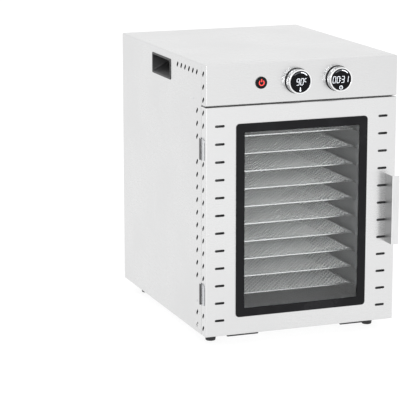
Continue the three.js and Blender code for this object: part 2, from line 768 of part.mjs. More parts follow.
// The box runs from the hinge barrels to the right grip's lip, and from the handle to the rear edge.
const boxCentreX = (half + grip.proud + hinge.x - hinge.radius) / 2;
const boxCentreY = (cabinet.depth - handle.depth) / 2;
body.position.set(-boxCentreX, -boxCentreY, 0);

const dehydrator = new THREE.Group();
dehydrator.add(body);

export default dehydrator;
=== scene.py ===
import math

import bmesh
import bpy
import numpy as np
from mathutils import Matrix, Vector


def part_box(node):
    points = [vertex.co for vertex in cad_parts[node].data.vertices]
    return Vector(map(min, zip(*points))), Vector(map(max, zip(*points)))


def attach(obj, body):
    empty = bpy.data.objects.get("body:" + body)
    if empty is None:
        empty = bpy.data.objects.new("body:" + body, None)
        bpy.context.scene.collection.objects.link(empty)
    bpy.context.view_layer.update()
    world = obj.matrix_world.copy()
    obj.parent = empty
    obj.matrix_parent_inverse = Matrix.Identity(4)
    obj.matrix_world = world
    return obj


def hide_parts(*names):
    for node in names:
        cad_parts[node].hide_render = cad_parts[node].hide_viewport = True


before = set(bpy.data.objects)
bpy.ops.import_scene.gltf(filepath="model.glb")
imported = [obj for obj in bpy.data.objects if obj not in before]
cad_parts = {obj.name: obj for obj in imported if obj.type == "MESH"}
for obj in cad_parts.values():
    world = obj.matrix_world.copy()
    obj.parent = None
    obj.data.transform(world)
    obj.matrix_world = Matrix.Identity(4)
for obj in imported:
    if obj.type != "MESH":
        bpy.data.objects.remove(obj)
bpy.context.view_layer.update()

MM = 0.001

# ---------------------------------------------------------------- the studio
# A pale table under a white surround, with one broad soft lamp overhead and a smaller one in front.
# The camera stands well back, left of the cabinet and a little above it, with a long lens.

camera = bpy.data.objects.new("camera", bpy.data.cameras.new("camera"))
camera.data.sensor_width = 36.0
camera.data.lens = 170.11
camera.location = (-1.2956, -3.2083, 0.9605)
gaze = Vector((0.3428, 0.9139, -0.2179))
camera.rotation_euler = gaze.to_track_quat("-Z", "Y").to_euler()
bpy.context.scene.collection.objects.link(camera)
bpy.context.scene.camera = camera
bpy.context.scene.view_settings.view_transform = "Standard"

world = bpy.data.worlds.new("white_surround")
world.use_nodes = True
world.node_tree.nodes["Background"].inputs["Color"].default_value = (1.0, 1.0, 1.0, 1.0)
world.node_tree.nodes["Background"].inputs["Strength"].default_value = 1.05
bpy.context.scene.world = world


def soft_lamp(name, place, aim, size, power):
    """A square lamp at a place, turned to face a point."""
    lamp = bpy.data.objects.new(name, bpy.data.lights.new(name, "AREA"))
    lamp.data.shape = "SQUARE"
    lamp.data.size = size
    lamp.data.energy = power
    lamp.location = place
    lamp.rotation_euler = (Vector(aim) - Vector(place)).to_track_quat("-Z", "Y").to_euler()
    bpy.context.scene.collection.objects.link(lamp)


soft_lamp("overhead_lamp", (0.0, -0.9, 2.6), (0.0, 0.0, 0.2), 2.2, 3.0)
soft_lamp("front_lamp", (-0.75, -2.7, 0.95), (0.0, 0.0, 0.2), 0.8, 24.0)


def white_table():
    """A square sheet at height zero: four corners, far enough out to fill every view."""
    reach = 14.0
    corners = np.array([[-reach, -reach, 0], [reach, -reach, 0], [reach, reach, 0], [-reach, reach, 0]])
    mesh = bpy.data.meshes.new("table")
    mesh.from_pydata(corners.tolist(), [], [[0, 1, 2, 3]])
    table = bpy.data.objects.new("table", mesh)
    paint = bpy.data.materials.new("table_white")
    paint.use_nodes = True
    shader = paint.node_tree.nodes["Principled BSDF"]
    shader.inputs["Base Color"].default_value = (0.2, 0.2, 0.2, 1.0)
    shader.inputs["Roughness"].default_value = 0.9
    shader.inputs["Specular IOR Level"].default_value = 0.1
    shader.inputs["Emission Color"].default_value = (1.0, 1.0, 1.0, 1.0)
    shader.inputs["Emission Strength"].default_value = 0.84
    mesh.materials.append(paint)
    bpy.context.scene.collection.objects.link(table)
    return table


white_table()

# ---------------------------------------------------------------- outer wrap
# One stainless sheet bent into a U that makes both sides and the top. Its brushed grain runs from front
# to back. Leaning vents are punched near its front edge, and it is cut away for the grips and hinges.


def shader_group(name, inputs, outputs):
    """A node group with named sockets, given as (name, socket type, value) in and (name, type) out."""
    group = bpy.data.node_groups.new(name, "ShaderNodeTree")
    for label, kind, value in inputs:
        socket = group.interface.new_socket(label, in_out="INPUT", socket_type=kind)
        if value is not None:
            socket.default_value = value
    for label, kind in outputs:
        group.interface.new_socket(label, in_out="OUTPUT", socket_type=kind)
    return group, group.nodes.new("NodeGroupInput").outputs, group.nodes.new("NodeGroupOutput").inputs


def add_node(tree, kind, sockets, **settings):
    """Adds a node: settings are its own properties, and each socket gets a link or a plain value."""
    node = tree.nodes.new(kind)
    for name, value in settings.items():
        setattr(node, name, value)
    for name, value in sockets.items():
        if isinstance(value, bpy.types.NodeSocket):
            tree.links.new(value, node.inputs[name])
        else:
            node.inputs[name].default_value = value
    return node


def math_node(tree, operation, first, second=0.0):
    """The result of one sum on one or two values."""
    return add_node(tree, "ShaderNodeMath", {0: first, 1: second}, operation=operation).outputs[0]


def between(tree, value, low, high, to_low, to_high):
    """Carries a value from one range to another, held at both ends."""
    sockets = {"Value": value, "From Min": low, "From Max": high, "To Min": to_low, "To Max": to_high}
    return add_node(tree, "ShaderNodeMapRange", sockets).outputs["Result"]


def mixed(tree, share, first, second):
    """The blend of two colours by a share from 0 to 1."""
    node = add_node(tree, "ShaderNodeMix", {"Factor": share}, data_type="RGBA")
    for socket, value in ((node.inputs[6], first), (node.inputs[7], second)):
        if isinstance(value, bpy.types.NodeSocket):
            tree.links.new(value, socket)
        else:
            socket.default_value = (*value, 1.0)
    return node.outputs[2]


def object_place(tree):
    """The piece's own coordinates, in metres."""
    return add_node(tree, "ShaderNodeTexCoord", {}).outputs["Object"]


def relief(tree, shader, height, strength, depth):
    """Feeds a height to the shader's normal, through a bump of a depth in metres."""
    bump = add_node(tree, "ShaderNodeBump", {"Strength": strength, "Distance": depth, "Height": height})
    tree.links.new(bump.outputs[0], shader["Normal"])


def brushed_grain_group():
    """Long fine scratches along the first coordinate and slow clouds over them, both from 0 to 1."""
    vector = ("Vector", "NodeSocketVector", None)
    fine = ("Lines per metre", "NodeSocketFloat", 2600.0)
    streak = ("Streaks per metre", "NodeSocketFloat", 28.0)
    outputs = [("Scratch", "NodeSocketFloat"), ("Cloud", "NodeSocketFloat")]
    group, given, out = shader_group("brushed_grain", [vector, fine, streak], outputs)
    stretch = add_node(group, "ShaderNodeCombineXYZ", {0: given[2], 1: given[1], 2: given[1]})
    factors = {0: given[0], 1: stretch.outputs[0]}
    placed = add_node(group, "ShaderNodeVectorMath", factors, operation="MULTIPLY").outputs[0]
    scratch = add_node(group, "ShaderNodeTexNoise", {"Vector": placed, "Scale": 1.0, "Detail": 3.0})
    cloud = add_node(group, "ShaderNodeTexNoise", {"Vector": given[0], "Scale": 7.0, "Detail": 2.0})
    group.links.new(scratch.outputs[0], out[0])
    group.links.new(cloud.outputs[0], out[1])
    return group


def edge_wear_group():
    """1 on outer edges, where a bevelled normal leans away from the face's own, broken up by noise."""
    inputs = [("Vector", "NodeSocketVector", None), ("Width", "NodeSocketFloat", 0.0006)]
    group, given, out = shader_group("edge_wear", inputs, [("Edge", "NodeSocketFloat")])
    rounded = add_node(group, "ShaderNodeBevel", {"Radius": given[1]}, samples=4)
    face = add_node(group, "ShaderNodeNewGeometry", {})
    both = {0: rounded.outputs[0], 1: face.outputs["Normal"]}
    match = add_node(group, "ShaderNodeVectorMath", both, operation="DOT_PRODUCT")
    lean = between(group, match.outputs["Value"], 0.995, 0.8, 0.0, 1.0)
    broken = add_node(group, "ShaderNodeTexNoise", {"Vector": given[0], "Scale": 160.0, "Detail": 3.0})
    worn = between(group, broken.outputs[0], 0.38, 0.66, 0.25, 1.0)
    group.links.new(math_node(group, "MULTIPLY", lean, worn), out[0])
    return group


brushed_grain = brushed_grain_group()
edge_wear = edge_wear_group()


def new_material(name, **constants):
    """A material, its tree and its Principled shader, with plain values on the shader's own sockets."""
    material = bpy.data.materials.new(name)
    material.use_nodes = True
    shader = material.node_tree.nodes["Principled BSDF"]
    for label, value in constants.items():
        shader.inputs[label.replace("_", " ")].default_value = value
    return material, material.node_tree, shader.inputs


def placed_group(tree, group, sockets):
    """The outputs of a node group placed in a tree."""
    return add_node(tree, "ShaderNodeGroup", sockets, node_tree=group).outputs


def brushed_steel(name, tone, dark, rough, from_uv=True, lines=2600.0, depth=0.00002):
    """Satin stainless sheet: scratches change its tone, gloss and relief a little, clouds its tone. Faces
    are painted dark by as much as their attribute "cut" says: at 1 they go near black, painted shade
    inside the punched holes along with the dark scale that a cutting beam leaves."""
    material, tree, shader = new_material(name, Metallic=1.0)
    if from_uv:
        place = add_node(tree, "ShaderNodeUVMap", {}, uv_map="grain").outputs[0]
    else:
        place = object_place(tree)
    grain = placed_group(tree, brushed_grain, {"Vector": place, "Lines per metre": lines})
    worn = placed_group(tree, edge_wear, {"Vector": place})
    streaks = between(tree, grain["Scratch"], 0.3, 0.7, 0.0, 1.0)
    clouds = between(tree, grain["Cloud"], 0.35, 0.65, 0.0, 0.35)
    shade = math_node(tree, "ADD", math_node(tree, "MULTIPLY", streaks, 0.45), clouds)
    colour = mixed(tree, shade, tone, dark)
    bright = tuple(min(1.0, 1.06 * part) for part in tone)
    cut = add_node(tree, "ShaderNodeAttribute", {}, attribute_name="cut")
    shown = mixed(tree, worn["Edge"], colour, bright)
    # Painted shade: faces marked "cut" go toward this near black, for the shade inside the holes along with
    # the cutting scale; the handle plate's half mark is painted shade on its side.
    scale_and_shade_black = (0.006, 0.006, 0.006)
    tree.links.new(mixed(tree, cut.outputs["Fac"], shown, scale_and_shade_black), shader["Base Color"])
    tree.links.new(between(tree, shade, 0.0, 0.8, rough[0], rough[1]), shader["Roughness"])
    relief(tree, shader, grain["Scratch"], 0.35, depth)
    return material


cabinet_steel = brushed_steel("cabinet_steel", (0.705, 0.706, 0.708), (0.66, 0.661, 0.663), (0.24, 0.34))


def rounded_outline(low, high, radii, inset=0.0, steps=7):
    """Points round a rectangle, anticlockwise from its lower left corner: each corner is an arc of its
    own radius, and an inset draws the whole outline in and takes as much off each radius."""
    sides = np.array([[1, 1], [-1, 1], [-1, -1], [1, -1]])
    corners = np.array([[low[0], low[1]], [high[0], low[1]], [high[0], high[1]], [low[0], high[1]]])
    radius = np.maximum(np.broadcast_to(np.asarray(radii, float), 4) - inset, 1e-5)[:, None]
    angle = np.radians([180, 270, 0, 90])[:, None] + np.linspace(0, np.pi / 2, steps)
    centre = corners + sides * (radius + inset)
    arc = np.stack([np.cos(angle), np.sin(angle)], -1) * radius[:, :, None]
    return (centre[:, None, :] + arc).reshape(-1, 2)


def stadiums(centres, length, width, lean=0.0, steps=9):
    """Outlines of slots with round ends, one for each centre: two half circles set apart along a line
    that leans from the first axis. The length may be one number or one for each slot."""
    half_turn = np.linspace(-np.pi / 2, np.pi / 2, steps)
    centres = np.asarray(centres, float)
    reach = np.broadcast_to((np.asarray(length, float) - width) / 2, len(centres))[:, None]
    swing, side = width / 2 * np.cos(half_turn), width / 2 * np.sin(half_turn)
    along = np.concatenate([reach + swing, -reach - swing], 1)
    across = np.broadcast_to(np.concatenate([side, -side]), along.shape)
    u = along * math.cos(lean) - across * math.sin(lean)
    v = along * math.sin(lean) + across * math.cos(lean)
    return centres[:, None, :] + np.stack([u, v], -1)


def prisms(outlines, low, high, axis):
    """Many outlines at once, a (k, n, 2) array, each carried from low to high along an axis and closed
    with a flat face at both ends."""
    ends = [np.insert(outlines, axis, level, axis=2) for level in (low, high)]
    points = np.stack(ends, 1)
    index = np.arange(points[..., 0].size).reshape(points.shape[:3])
    after = np.roll(index, -1, axis=2)
    sides = np.stack([index[:, 0], after[:, 0], after[:, 1], index[:, 1]], -1).reshape(-1, 4)
    return points.reshape(-1, 3), [sides, index[:, 0], index[:, 1]]


def outward_mesh(name, points, faces, merged):
    """A mesh with its faces turned outward, after points in the same place are merged if that is asked."""
    mesh = bpy.data.meshes.new(name)
    mesh.from_pydata(points.tolist(), [], faces)
    shape = bmesh.new()
    shape.from_mesh(mesh)
    if merged:
        bmesh.ops.remove_doubles(shape, verts=shape.verts, dist=1e-6)
    bmesh.ops.recalc_face_normals(shape, faces=shape.faces)
    shape.to_mesh(mesh)
    shape.free()
    return mesh


def smooth_shading(mesh):
    """Smooth shading, with edges over 35 degrees kept sharp."""
    mesh.shade_smooth()
    mesh.set_sharp_from_angle(angle=math.radians(35))


def new_piece(name, surfaces, material, body, replaced=()):
    """A piece from (points, face arrays) surfaces: doubles are merged, faces are turned outward, edges
    over 35 degrees stay sharp, and it rides on its body in place of the CAD nodes that it replaces."""
    starts = np.cumsum([0] + [len(points) for points, _ in surfaces])
    points = np.concatenate([points for points, _ in surfaces])
    faces = []
    for (_, arrays), start in zip(surfaces, starts):
        for array in arrays:
            faces.extend((array + start).tolist())
    mesh = outward_mesh(name, points, faces, True)
    mesh.materials.append(material)
    smooth_shading(mesh)
    piece = bpy.data.objects.new(name, mesh)
    bpy.context.scene.collection.objects.link(piece)
    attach(piece, body)
    if replaced:
        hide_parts(*replaced)
    return piece


def cut_away(piece, surfaces):
    """Cuts closed shapes out of a piece with a Boolean modifier, which is applied at once, and marks the
    faces that the cuts leave with 1 in the attribute "cut"."""
    for points, arrays in surfaces:
        faces = [face for array in arrays for face in array.tolist()]
        mesh = outward_mesh("cutter", points, faces, False)
        mesh.materials.append(piece.data.materials[0])
        mesh.materials.append(None)
        mesh.polygons.foreach_set("material_index", np.ones(len(mesh.polygons), np.int32))
        cutter = bpy.data.objects.new("cutter", mesh)
        bpy.context.scene.collection.objects.link(cutter)
        modifier = piece.modifiers.new("cut", "BOOLEAN")
        modifier.operation = "DIFFERENCE"
        modifier.solver = "EXACT"
        modifier.material_mode = "INDEX"
        modifier.object = cutter
        bpy.context.view_layer.update()
        shown = piece.evaluated_get(bpy.context.evaluated_depsgraph_get())
        cut = bpy.data.meshes.new_from_object(shown)
        piece.modifiers.clear()
        bpy.data.objects.remove(cutter)
        piece.data = cut
    mesh = piece.data
    # The mark makes the steel paint these walls near black: painted shade inside the holes, along with the
    # cutting scale.
    cut_faces = np.zeros(len(mesh.polygons), np.int32)
    mesh.polygons.foreach_get("material_index", cut_faces)
    mark = mesh.attributes.new("cut", "FLOAT", "FACE")
    mark.data.foreach_set("value", (cut_faces > 0).astype(np.float32))
    mesh.polygons.foreach_set("material_index", np.zeros(len(mesh.polygons), np.int32))
    while len(mesh.materials) > 1:
        mesh.materials.pop(index=1)
    smooth_shading(mesh)


def eased_edges(piece, width):
    """Rounds a piece's sharp edges a little and weights its normals, so that flat faces stay flat."""
    bevel = piece.modifiers.new("eased_edges", "BEVEL")
    bevel.width = width
    bevel.segments = 2
    bevel.limit_method = "ANGLE"
    bevel.angle_limit = math.radians(40)
    bevel.miter_outer = "MITER_ARC"
    normals = piece.modifiers.new("flat_normals", "WEIGHTED_NORMAL")
    normals.keep_sharp = True


def lay_grain(piece, order):
    """Gives a sheet the map that its grain follows, in metres: along is the first axis of the order that
    a face doesn't point along, and across is the other one that lies in the face."""
    mesh = piece.data
    normals = np.zeros(len(mesh.polygons) * 3, np.float32)
    mesh.polygons.foreach_get("normal", normals)
    totals = np.zeros(len(mesh.polygons), np.int32)
    mesh.polygons.foreach_get("loop_total", totals)
    corners = np.zeros(len(mesh.loops), np.int32)
    mesh.loops.foreach_get("vertex_index", corners)
    points = np.zeros(len(mesh.vertices) * 3, np.float32)
    mesh.vertices.foreach_get("co", points)
    faced = np.repeat(np.abs(normals.reshape(-1, 3)).argmax(1), totals)
    order = np.array(order)
    in_face = order[None, :] != faced[:, None]
    along = order[in_face.argmax(1)]
    across = 3 - faced - along
    placed = points.reshape(-1, 3)[corners]
    rows = np.arange(len(corners))
    grain = np.stack([placed[rows, along], placed[rows, across]], -1)
    layer = mesh.uv_layers.get("grain") or mesh.uv_layers.new(name="grain")
    layer.data.foreach_set("uv", grain.astype(np.float32).ravel())


sheet = 0.8 * MM
bend = 2.5 * MM
vent_length, vent_width, vent_lean = 11 * MM, 5.2 * MM, math.radians(90 + 38)
vent_pitch, vent_count = 21.83 * MM, 21
wrap_low, wrap_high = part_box("outer_wrap")
centre_x = (wrap_low.x + wrap_high.x) / 2
column_y = wrap_low.y + 20.1 * MM
vent_z = wrap_low.z + 13.6 * MM + vent_pitch * np.arange(vent_count)
panel_vents = 3
hinge_names = ("upper", "lower")
cabinet_hinge_gaps, door_hinge_gaps = [2, 3, 14], [2, 3, 14, 15]


def pairs(first, second):
    """Centres (first, second), with either given as one number."""
    return np.stack(np.broadcast_arrays(first, second), -1).astype(float)


def side_vents(centres, low, high):
    """Leaning slots at (y, z) centres, carried across a box from one side to the other."""
    outlines = stadiums(centres, vent_length, vent_width, vent_lean)
    return prisms(outlines, low.x - 5 * MM, high.x + 5 * MM, 0)


def wrap_outline():
    """The U in cross section: an outer path up, over and down with an arc at both top corners, and the
    same path a sheet's thickness inside it on the way back."""
    turn = np.linspace(0, np.pi / 2, 7)
    paths = []
    for inset in (0.0, sheet):
        radius = bend - inset
        left, right = wrap_low.x + inset, wrap_high.x - inset
        top = wrap_high.z - inset
        rise = np.stack([left + radius * (1 - np.cos(turn)), top - radius * (1 - np.sin(turn))], -1)
        fall = np.stack([right - radius * (1 - np.sin(turn)), top - radius * (1 - np.cos(turn))], -1)
        ends = [[[left, wrap_low.z]], rise, fall, [[right, wrap_low.z]]]
        paths.append(np.concatenate(ends))
    return np.concatenate([paths[0], paths[1][::-1]])


def hinge_notches(front, rear):
    """Rectangles in the left side's edge that the two hinges fill, carried through the sheet."""
    room = 1.4 * MM
    outlines = []
    for name in hinge_names:
        low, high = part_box(f"{name}_hinge_door_leaf")
        outlines.append(rounded_outline((front, low.z - room), (rear, high.z + room), 0.0, steps=2))
    return prisms(np.array(outlines), wrap_low.x - 1 * MM, wrap_low.x + 2 * MM, 0)


def outer_wrap():
    wrap = new_piece(
        "wrap_sheet",
        [prisms(wrap_outline()[None], wrap_low.y, wrap_high.y, 1)],
        cabinet_steel,
        "cabinet",
        ["outer_wrap"],
    )
    column_z = np.delete(vent_z[:-panel_vents], cabinet_hinge_gaps)
    top_row_pitch, top_row_count = 19 * MM, 6
    top_row_y = wrap_low.y + 21.3 * MM + top_row_pitch * np.arange(top_row_count)
    top_row_z = wrap_low.z + 449.6 * MM
    vents = np.concatenate([pairs(column_y, column_z), pairs(top_row_y, top_row_z)])
    cup_low, cup_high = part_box("left_grip_cup")
    lip = 2 * MM
    cup_hole = rounded_outline(
        (cup_low.y + lip, cup_low.z + lip), (cup_high.y - lip, cup_high.z - lip), 1 * MM
    )
    cut_away(wrap, [
        side_vents(vents, wrap_low, wrap_high),
        prisms(cup_hole[None], wrap_low.x - 5 * MM, wrap_high.x + 5 * MM, 0),
        hinge_notches(wrap_low.y - 1 * MM, wrap_low.y + 2.9 * MM),
    ])
    lay_grain(wrap, (1, 0, 2))
    eased_edges(wrap, 0.1 * MM)


outer_wrap()

# ---------------------------------------------------------------- rear panel and base pan
# The rear panel is a flat sheet let into the wrap and held by twelve pan-head screws; the fan draws its
# air through the round field of slots. The base pan closes the underside.


def copies(surface, places):
    """The same surface at many places, as one surface: each place is added to every point."""
    points, arrays = surface
    places = np.asarray(places, float)
    offsets = np.arange(len(places))[:, None, None] * len(points)
    moved = (points[None] + places[:, None]).reshape(-1, 3)
    return moved, [(array[None] + offsets).reshape(-1, array.shape[1]) for array in arrays]


def stacked(rings, ends):
    """A surface through a stack of equal rings, an (m, n, 3) array: bands of quads join each ring to the
    next, and the ends are "joined" to each other, "capped" with flat faces, or left "open"."""
    count, around = rings.shape[:2]
    index = np.arange(count * around).reshape(count, around)
    after = np.roll(index, -1, axis=1)
    quads = np.stack([index, after, np.roll(after, -1, 0), np.roll(index, -1, 0)], -1)
    quads = quads if ends == "joined" else quads[:-1]
    caps = [index[:1], index[-1:]] if ends == "capped" else []
    return rings.reshape(-1, 3), [quads.reshape(-1, 4), *caps]


def facing(surface, axis, sign):
    """A surface drawn round the third axis, turned so that its third axis is the given one."""
    points, arrays = surface
    turned = {0: points[:, [2, 0, 1]], 1: points[:, [0, 2, 1]], 2: points}[axis].copy()
    turned[:, axis] *= sign
    return turned, arrays


def cross_head(radius, height):
    """A pan-head screw seen from above: circles that rise over a dome, then a cross-shaped ring at the
    top and the same ring sunk to the floor of the recess. A cross's edge lies at the smaller of arm
    length over the larger, and arm half width over the smaller, of cosine and sine."""
    angle = np.linspace(0, 2 * np.pi, 48, endpoint=False)
    rise = np.linspace(0, 0.42 * np.pi, 5)
    levels = [(radius * (0.12 + 0.88 * np.cos(a)), height * np.sin(a)) for a in rise]
    larger = np.maximum(np.abs(np.cos(angle)), np.abs(np.sin(angle)))
    smaller = np.minimum(np.abs(np.cos(angle)), np.abs(np.sin(angle)))
    arm = np.minimum(0.5 * radius / larger, 0.13 * radius / np.maximum(smaller, 1e-6))
    rings = [(radius, -0.3 * height), *levels, (arm, height), (arm, 0.45 * height)]
    points = [np.stack([r * np.cos(angle), r * np.sin(angle), 0 * angle + h], -1) for r, h in rings]
    return stacked(np.array(points), "capped")


def fine_grain(name, tone, dark, rough, lines=900.0, metallic=1.0):
    """Plain sheet or plated steel on its object coordinates, with a slight grain along Y."""
    material, tree, shader = new_material(name, Metallic=metallic)
    place = object_place(tree)
    rotated = add_node(tree, "ShaderNodeMapping", {"Vector": place, "Rotation": (0.0, 0.0, math.pi / 2)})
    sockets = {"Vector": rotated.outputs[0], "Lines per metre": lines, "Streaks per metre": 30.0}
    grain = placed_group(tree, brushed_grain, sockets)
    worn = placed_group(tree, edge_wear, {"Vector": place})
    shade = between(tree, grain["Cloud"], 0.3, 0.7, 0.0, 1.0)
    colour = mixed(tree, shade, tone, dark)
    bright = tuple(min(1.0, 1.1 * part) for part in tone)
    tree.links.new(mixed(tree, worn["Edge"], colour, bright), shader["Base Color"])
    tree.links.new(between(tree, grain["Scratch"], 0.3, 0.7, rough[0], rough[1]), shader["Roughness"])
    relief(tree, shader, grain["Scratch"], 0.25, 0.00002)
    return material


plated_steel = fine_grain("plated_steel", (0.70, 0.71, 0.72), (0.58, 0.59, 0.61), (0.24, 0.4))


def rear_panel():
    low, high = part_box("rear_panel")
    outline = rounded_outline((low.x, low.z), (high.x, high.z), 2 * MM)
    panel = new_piece(
        "rear_sheet",
        [prisms(outline[None], low.y, high.y, 1)],
        cabinet_steel,
        "cabinet",
        ["rear_panel"],
    )
    hub_low, hub_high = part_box("fan_impeller")
    fan_z = (hub_low.z + hub_high.z) / 2
    field_radius, slot_pitch, slot_width, slot_count = 62 * MM, 11 * MM, 4.5 * MM, 9
    offset = slot_pitch * (np.arange(slot_count) - slot_count // 2)
    length = 2 * np.sqrt(field_radius**2 - offset**2)
    slots = stadiums(pairs(centre_x, fan_z + offset), length, slot_width)
    socket_low, socket_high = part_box("power_inlet")
    flange = 4.3 * MM
    opening = rounded_outline(
        (socket_low.x + flange - 0.6 * MM, socket_low.z + flange - 1.6 * MM),
        (socket_high.x - flange + 0.6 * MM, socket_high.z - flange + 1.6 * MM),
        0.5 * MM,
    )
    through = (low.y - 3 * MM, high.y + 3 * MM)
    cut_away(panel, [
        prisms(slots, *through, 1),
        prisms(opening[None], *through, 1),
    ])
    lay_grain(panel, (0, 2, 1))
    eased_edges(panel, 0.1 * MM)
    edge, from_middle, from_ends = 7 * MM, 55 * MM, 130 * MM
    xs = np.array([low.x + edge, centre_x - from_middle, centre_x + from_middle, high.x - edge])
    zs = np.array([low.z + from_ends, high.z - from_ends])
    rows = [pairs(xs, z) for z in (low.z + edge, high.z - edge)]
    sides = [pairs(x, zs) for x in (low.x + edge, high.x - edge)]
    spots = np.insert(np.concatenate(rows + sides), 1, high.y, axis=1)
    head = facing(cross_head(3.4 * MM, 1.7 * MM), 1, 1.0)
    new_piece("rear_screws", [copies(head, spots)], plated_steel, "cabinet")


def side_screws():
    """Two small screws in the left side: one low, in line with the vents, and one high behind them."""
    seat_x = wrap_low.x + 0.1 * MM
    low_screw = (seat_x, column_y, wrap_low.z + 55.7 * MM)
    high_screw = (seat_x, wrap_low.y + 37.7 * MM, wrap_low.z + 402.6 * MM)
    head = facing(cross_head(1.9 * MM, 0.7 * MM), 0, -1.0)
    heads = copies(head, [low_screw, high_screw])
    new_piece("side_screws", [heads], plated_steel, "cabinet")


rear_panel()
side_screws()
shell_steel = brushed_steel(
    "shell_steel", (0.80, 0.805, 0.81), (0.73, 0.735, 0.74), (0.32, 0.44), from_uv=False
)


def paint_nodes(material, *names):
    """Gives carried-over CAD nodes a material."""
    for name in names:
        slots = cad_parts[name].data.materials
        slots.clear()
        slots.append(material)


paint_nodes(shell_steel, "base_pan", "front_frame")

# ---------------------------------------------------------------- rubber feet
# Four turned feet that taper to the table, each with a rounded lower edge and a sunk screw, moulded in
# black rubber with a faint grain.


def filleted(corners, cut, steps=5, closed=True):
    """A polygon or an open line whose corners are replaced by parabolas, each from a point the cut's
    distance before the corner to one as far after it. The cut may be one number or one per corner."""
    corners = np.asarray(corners, float)
    cut = np.broadcast_to(np.asarray(cut, float), len(corners))[:, None]
    before, after = np.roll(corners, 1, 0) - corners, np.roll(corners, -1, 0) - corners
    if not closed:
        before[0], after[-1] = after[0], before[-1]
    start = corners + cut * before / np.linalg.norm(before, axis=1)[:, None]
    end = corners + cut * after / np.linalg.norm(after, axis=1)[:, None]
    s = np.linspace(0, 1, steps)[None, :, None]
    curve = (1 - s) ** 2 * start[:, None] + 2 * s * (1 - s) * corners[:, None] + s**2 * end[:, None]
    if closed:
        return curve.reshape(-1, 2)
    return np.concatenate([corners[:1], curve[1:-1].reshape(-1, 2), corners[-1:]])


def turned(profile, centre, axis, steps=64, closed=False):
    """A profile of (radius, height) pairs turned about a line along an axis through a centre. A line
    that starts and ends at radius zero closes at its poles; a closed profile makes a ring."""
    radius, height = np.asarray(profile, float).T
    angle = np.linspace(0, 2 * np.pi, steps, endpoint=False)[None, :]
    first, second = [other for other in range(3) if other != axis]
    rings = np.empty((len(radius), steps, 3))
    rings[..., first] = centre[first] + radius[:, None] * np.cos(angle)
    rings[..., second] = centre[second] + radius[:, None] * np.sin(angle)
    rings[..., axis] = height[:, None]
    return stacked(rings, "joined" if closed else "open")


def moulded_group():
    """The fine pebbled grain of a moulded surface: a height and a slow change of shade."""
    inputs = [("Vector", "NodeSocketVector", None), ("Grain per metre", "NodeSocketFloat", 1400.0)]
    outputs = [("Height", "NodeSocketFloat"), ("Shade", "NodeSocketFloat")]
    group, given, out = shader_group("moulded_grain", inputs, outputs)
    scaled = {"Vector": given[0], "Scale": given[1]}
    pebble = add_node(group, "ShaderNodeTexVoronoi", scaled, feature="SMOOTH_F1")
    soft = add_node(group, "ShaderNodeTexNoise", {"Vector": given[0], "Scale": 35.0, "Detail": 4.0})
    group.links.new(pebble.outputs["Distance"], out[0])
    group.links.new(soft.outputs[0], out[1])
    return group


moulded_grain = moulded_group()


def moulded(name, tone, pale, rough, grain=1400.0, **constants):
    """Black rubber or plastic straight from the mould: pebbled, a little paler on its edges."""
    material, tree, shader = new_material(name, **constants)
    place = object_place(tree)
    grained = placed_group(tree, moulded_grain, {"Vector": place, "Grain per metre": grain})
    worn = placed_group(tree, edge_wear, {"Vector": place, "Width": 0.0005})
    shade = between(tree, grained["Shade"], 0.35, 0.65, 0.0, 0.5)
    edged = math_node(tree, "MAXIMUM", shade, math_node(tree, "MULTIPLY", worn["Edge"], 0.8))
    tree.links.new(mixed(tree, edged, tone, pale), shader["Base Color"])
    tree.links.new(between(tree, grained["Shade"], 0.3, 0.7, rough[0], rough[1]), shader["Roughness"])
    relief(tree, shader, grained["Height"], 0.3, 0.00006)
    return material


rubber = moulded("black_rubber", (0.010, 0.010, 0.011), (0.022, 0.022, 0.023), (0.6, 0.78), 900.0)


def rubber_foot(name):
    low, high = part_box(name)
    centre = ((low.x + high.x) / 2, (low.y + high.y) / 2, 0.0)
    top = (high.x - low.x) / 2
    bottom, recess, screw = 8.5 * MM, 4.2 * MM, 6 * MM
    corners = [
        (0, high.z),
        (top, high.z),
        (top, high.z - 2 * MM),
        (bottom, low.z),
        (recess, low.z),
        (recess - 0.5 * MM, low.z + screw),
        (0, low.z + screw),
    ]
    cuts = np.array([0, 0.5, 0.9, 1.6, 0.5, 0.4, 0]) * MM
    new_piece(
        f"{name}_rubber",
        [turned(filleted(corners, cuts, 6, closed=False), centre, 2)],
        rubber,
        "cabinet",
        [name],
    )
    points, arrays = facing(cross_head(3.4 * MM, 1.8 * MM), 2, -1.0)
    new_piece(
        f"{name}_screw",
        [(points + np.array([centre[0], centre[1], low.z + screw]), arrays)],
        plated_steel,
        "cabinet",
    )


for foot_name in ("front_left_foot", "front_right_foot", "rear_left_foot", "rear_right_foot"):
    rubber_foot(foot_name)

# ---------------------------------------------------------------- side grips
# A moulded black cup is pushed into each side from outside: a rounded lip lies on the sheet, and the
# floor of the cup slopes up to the back wall.
black_plastic = moulded("black_plastic", (0.012, 0.012, 0.013), (0.045, 0.045, 0.047), (0.38, 0.52))


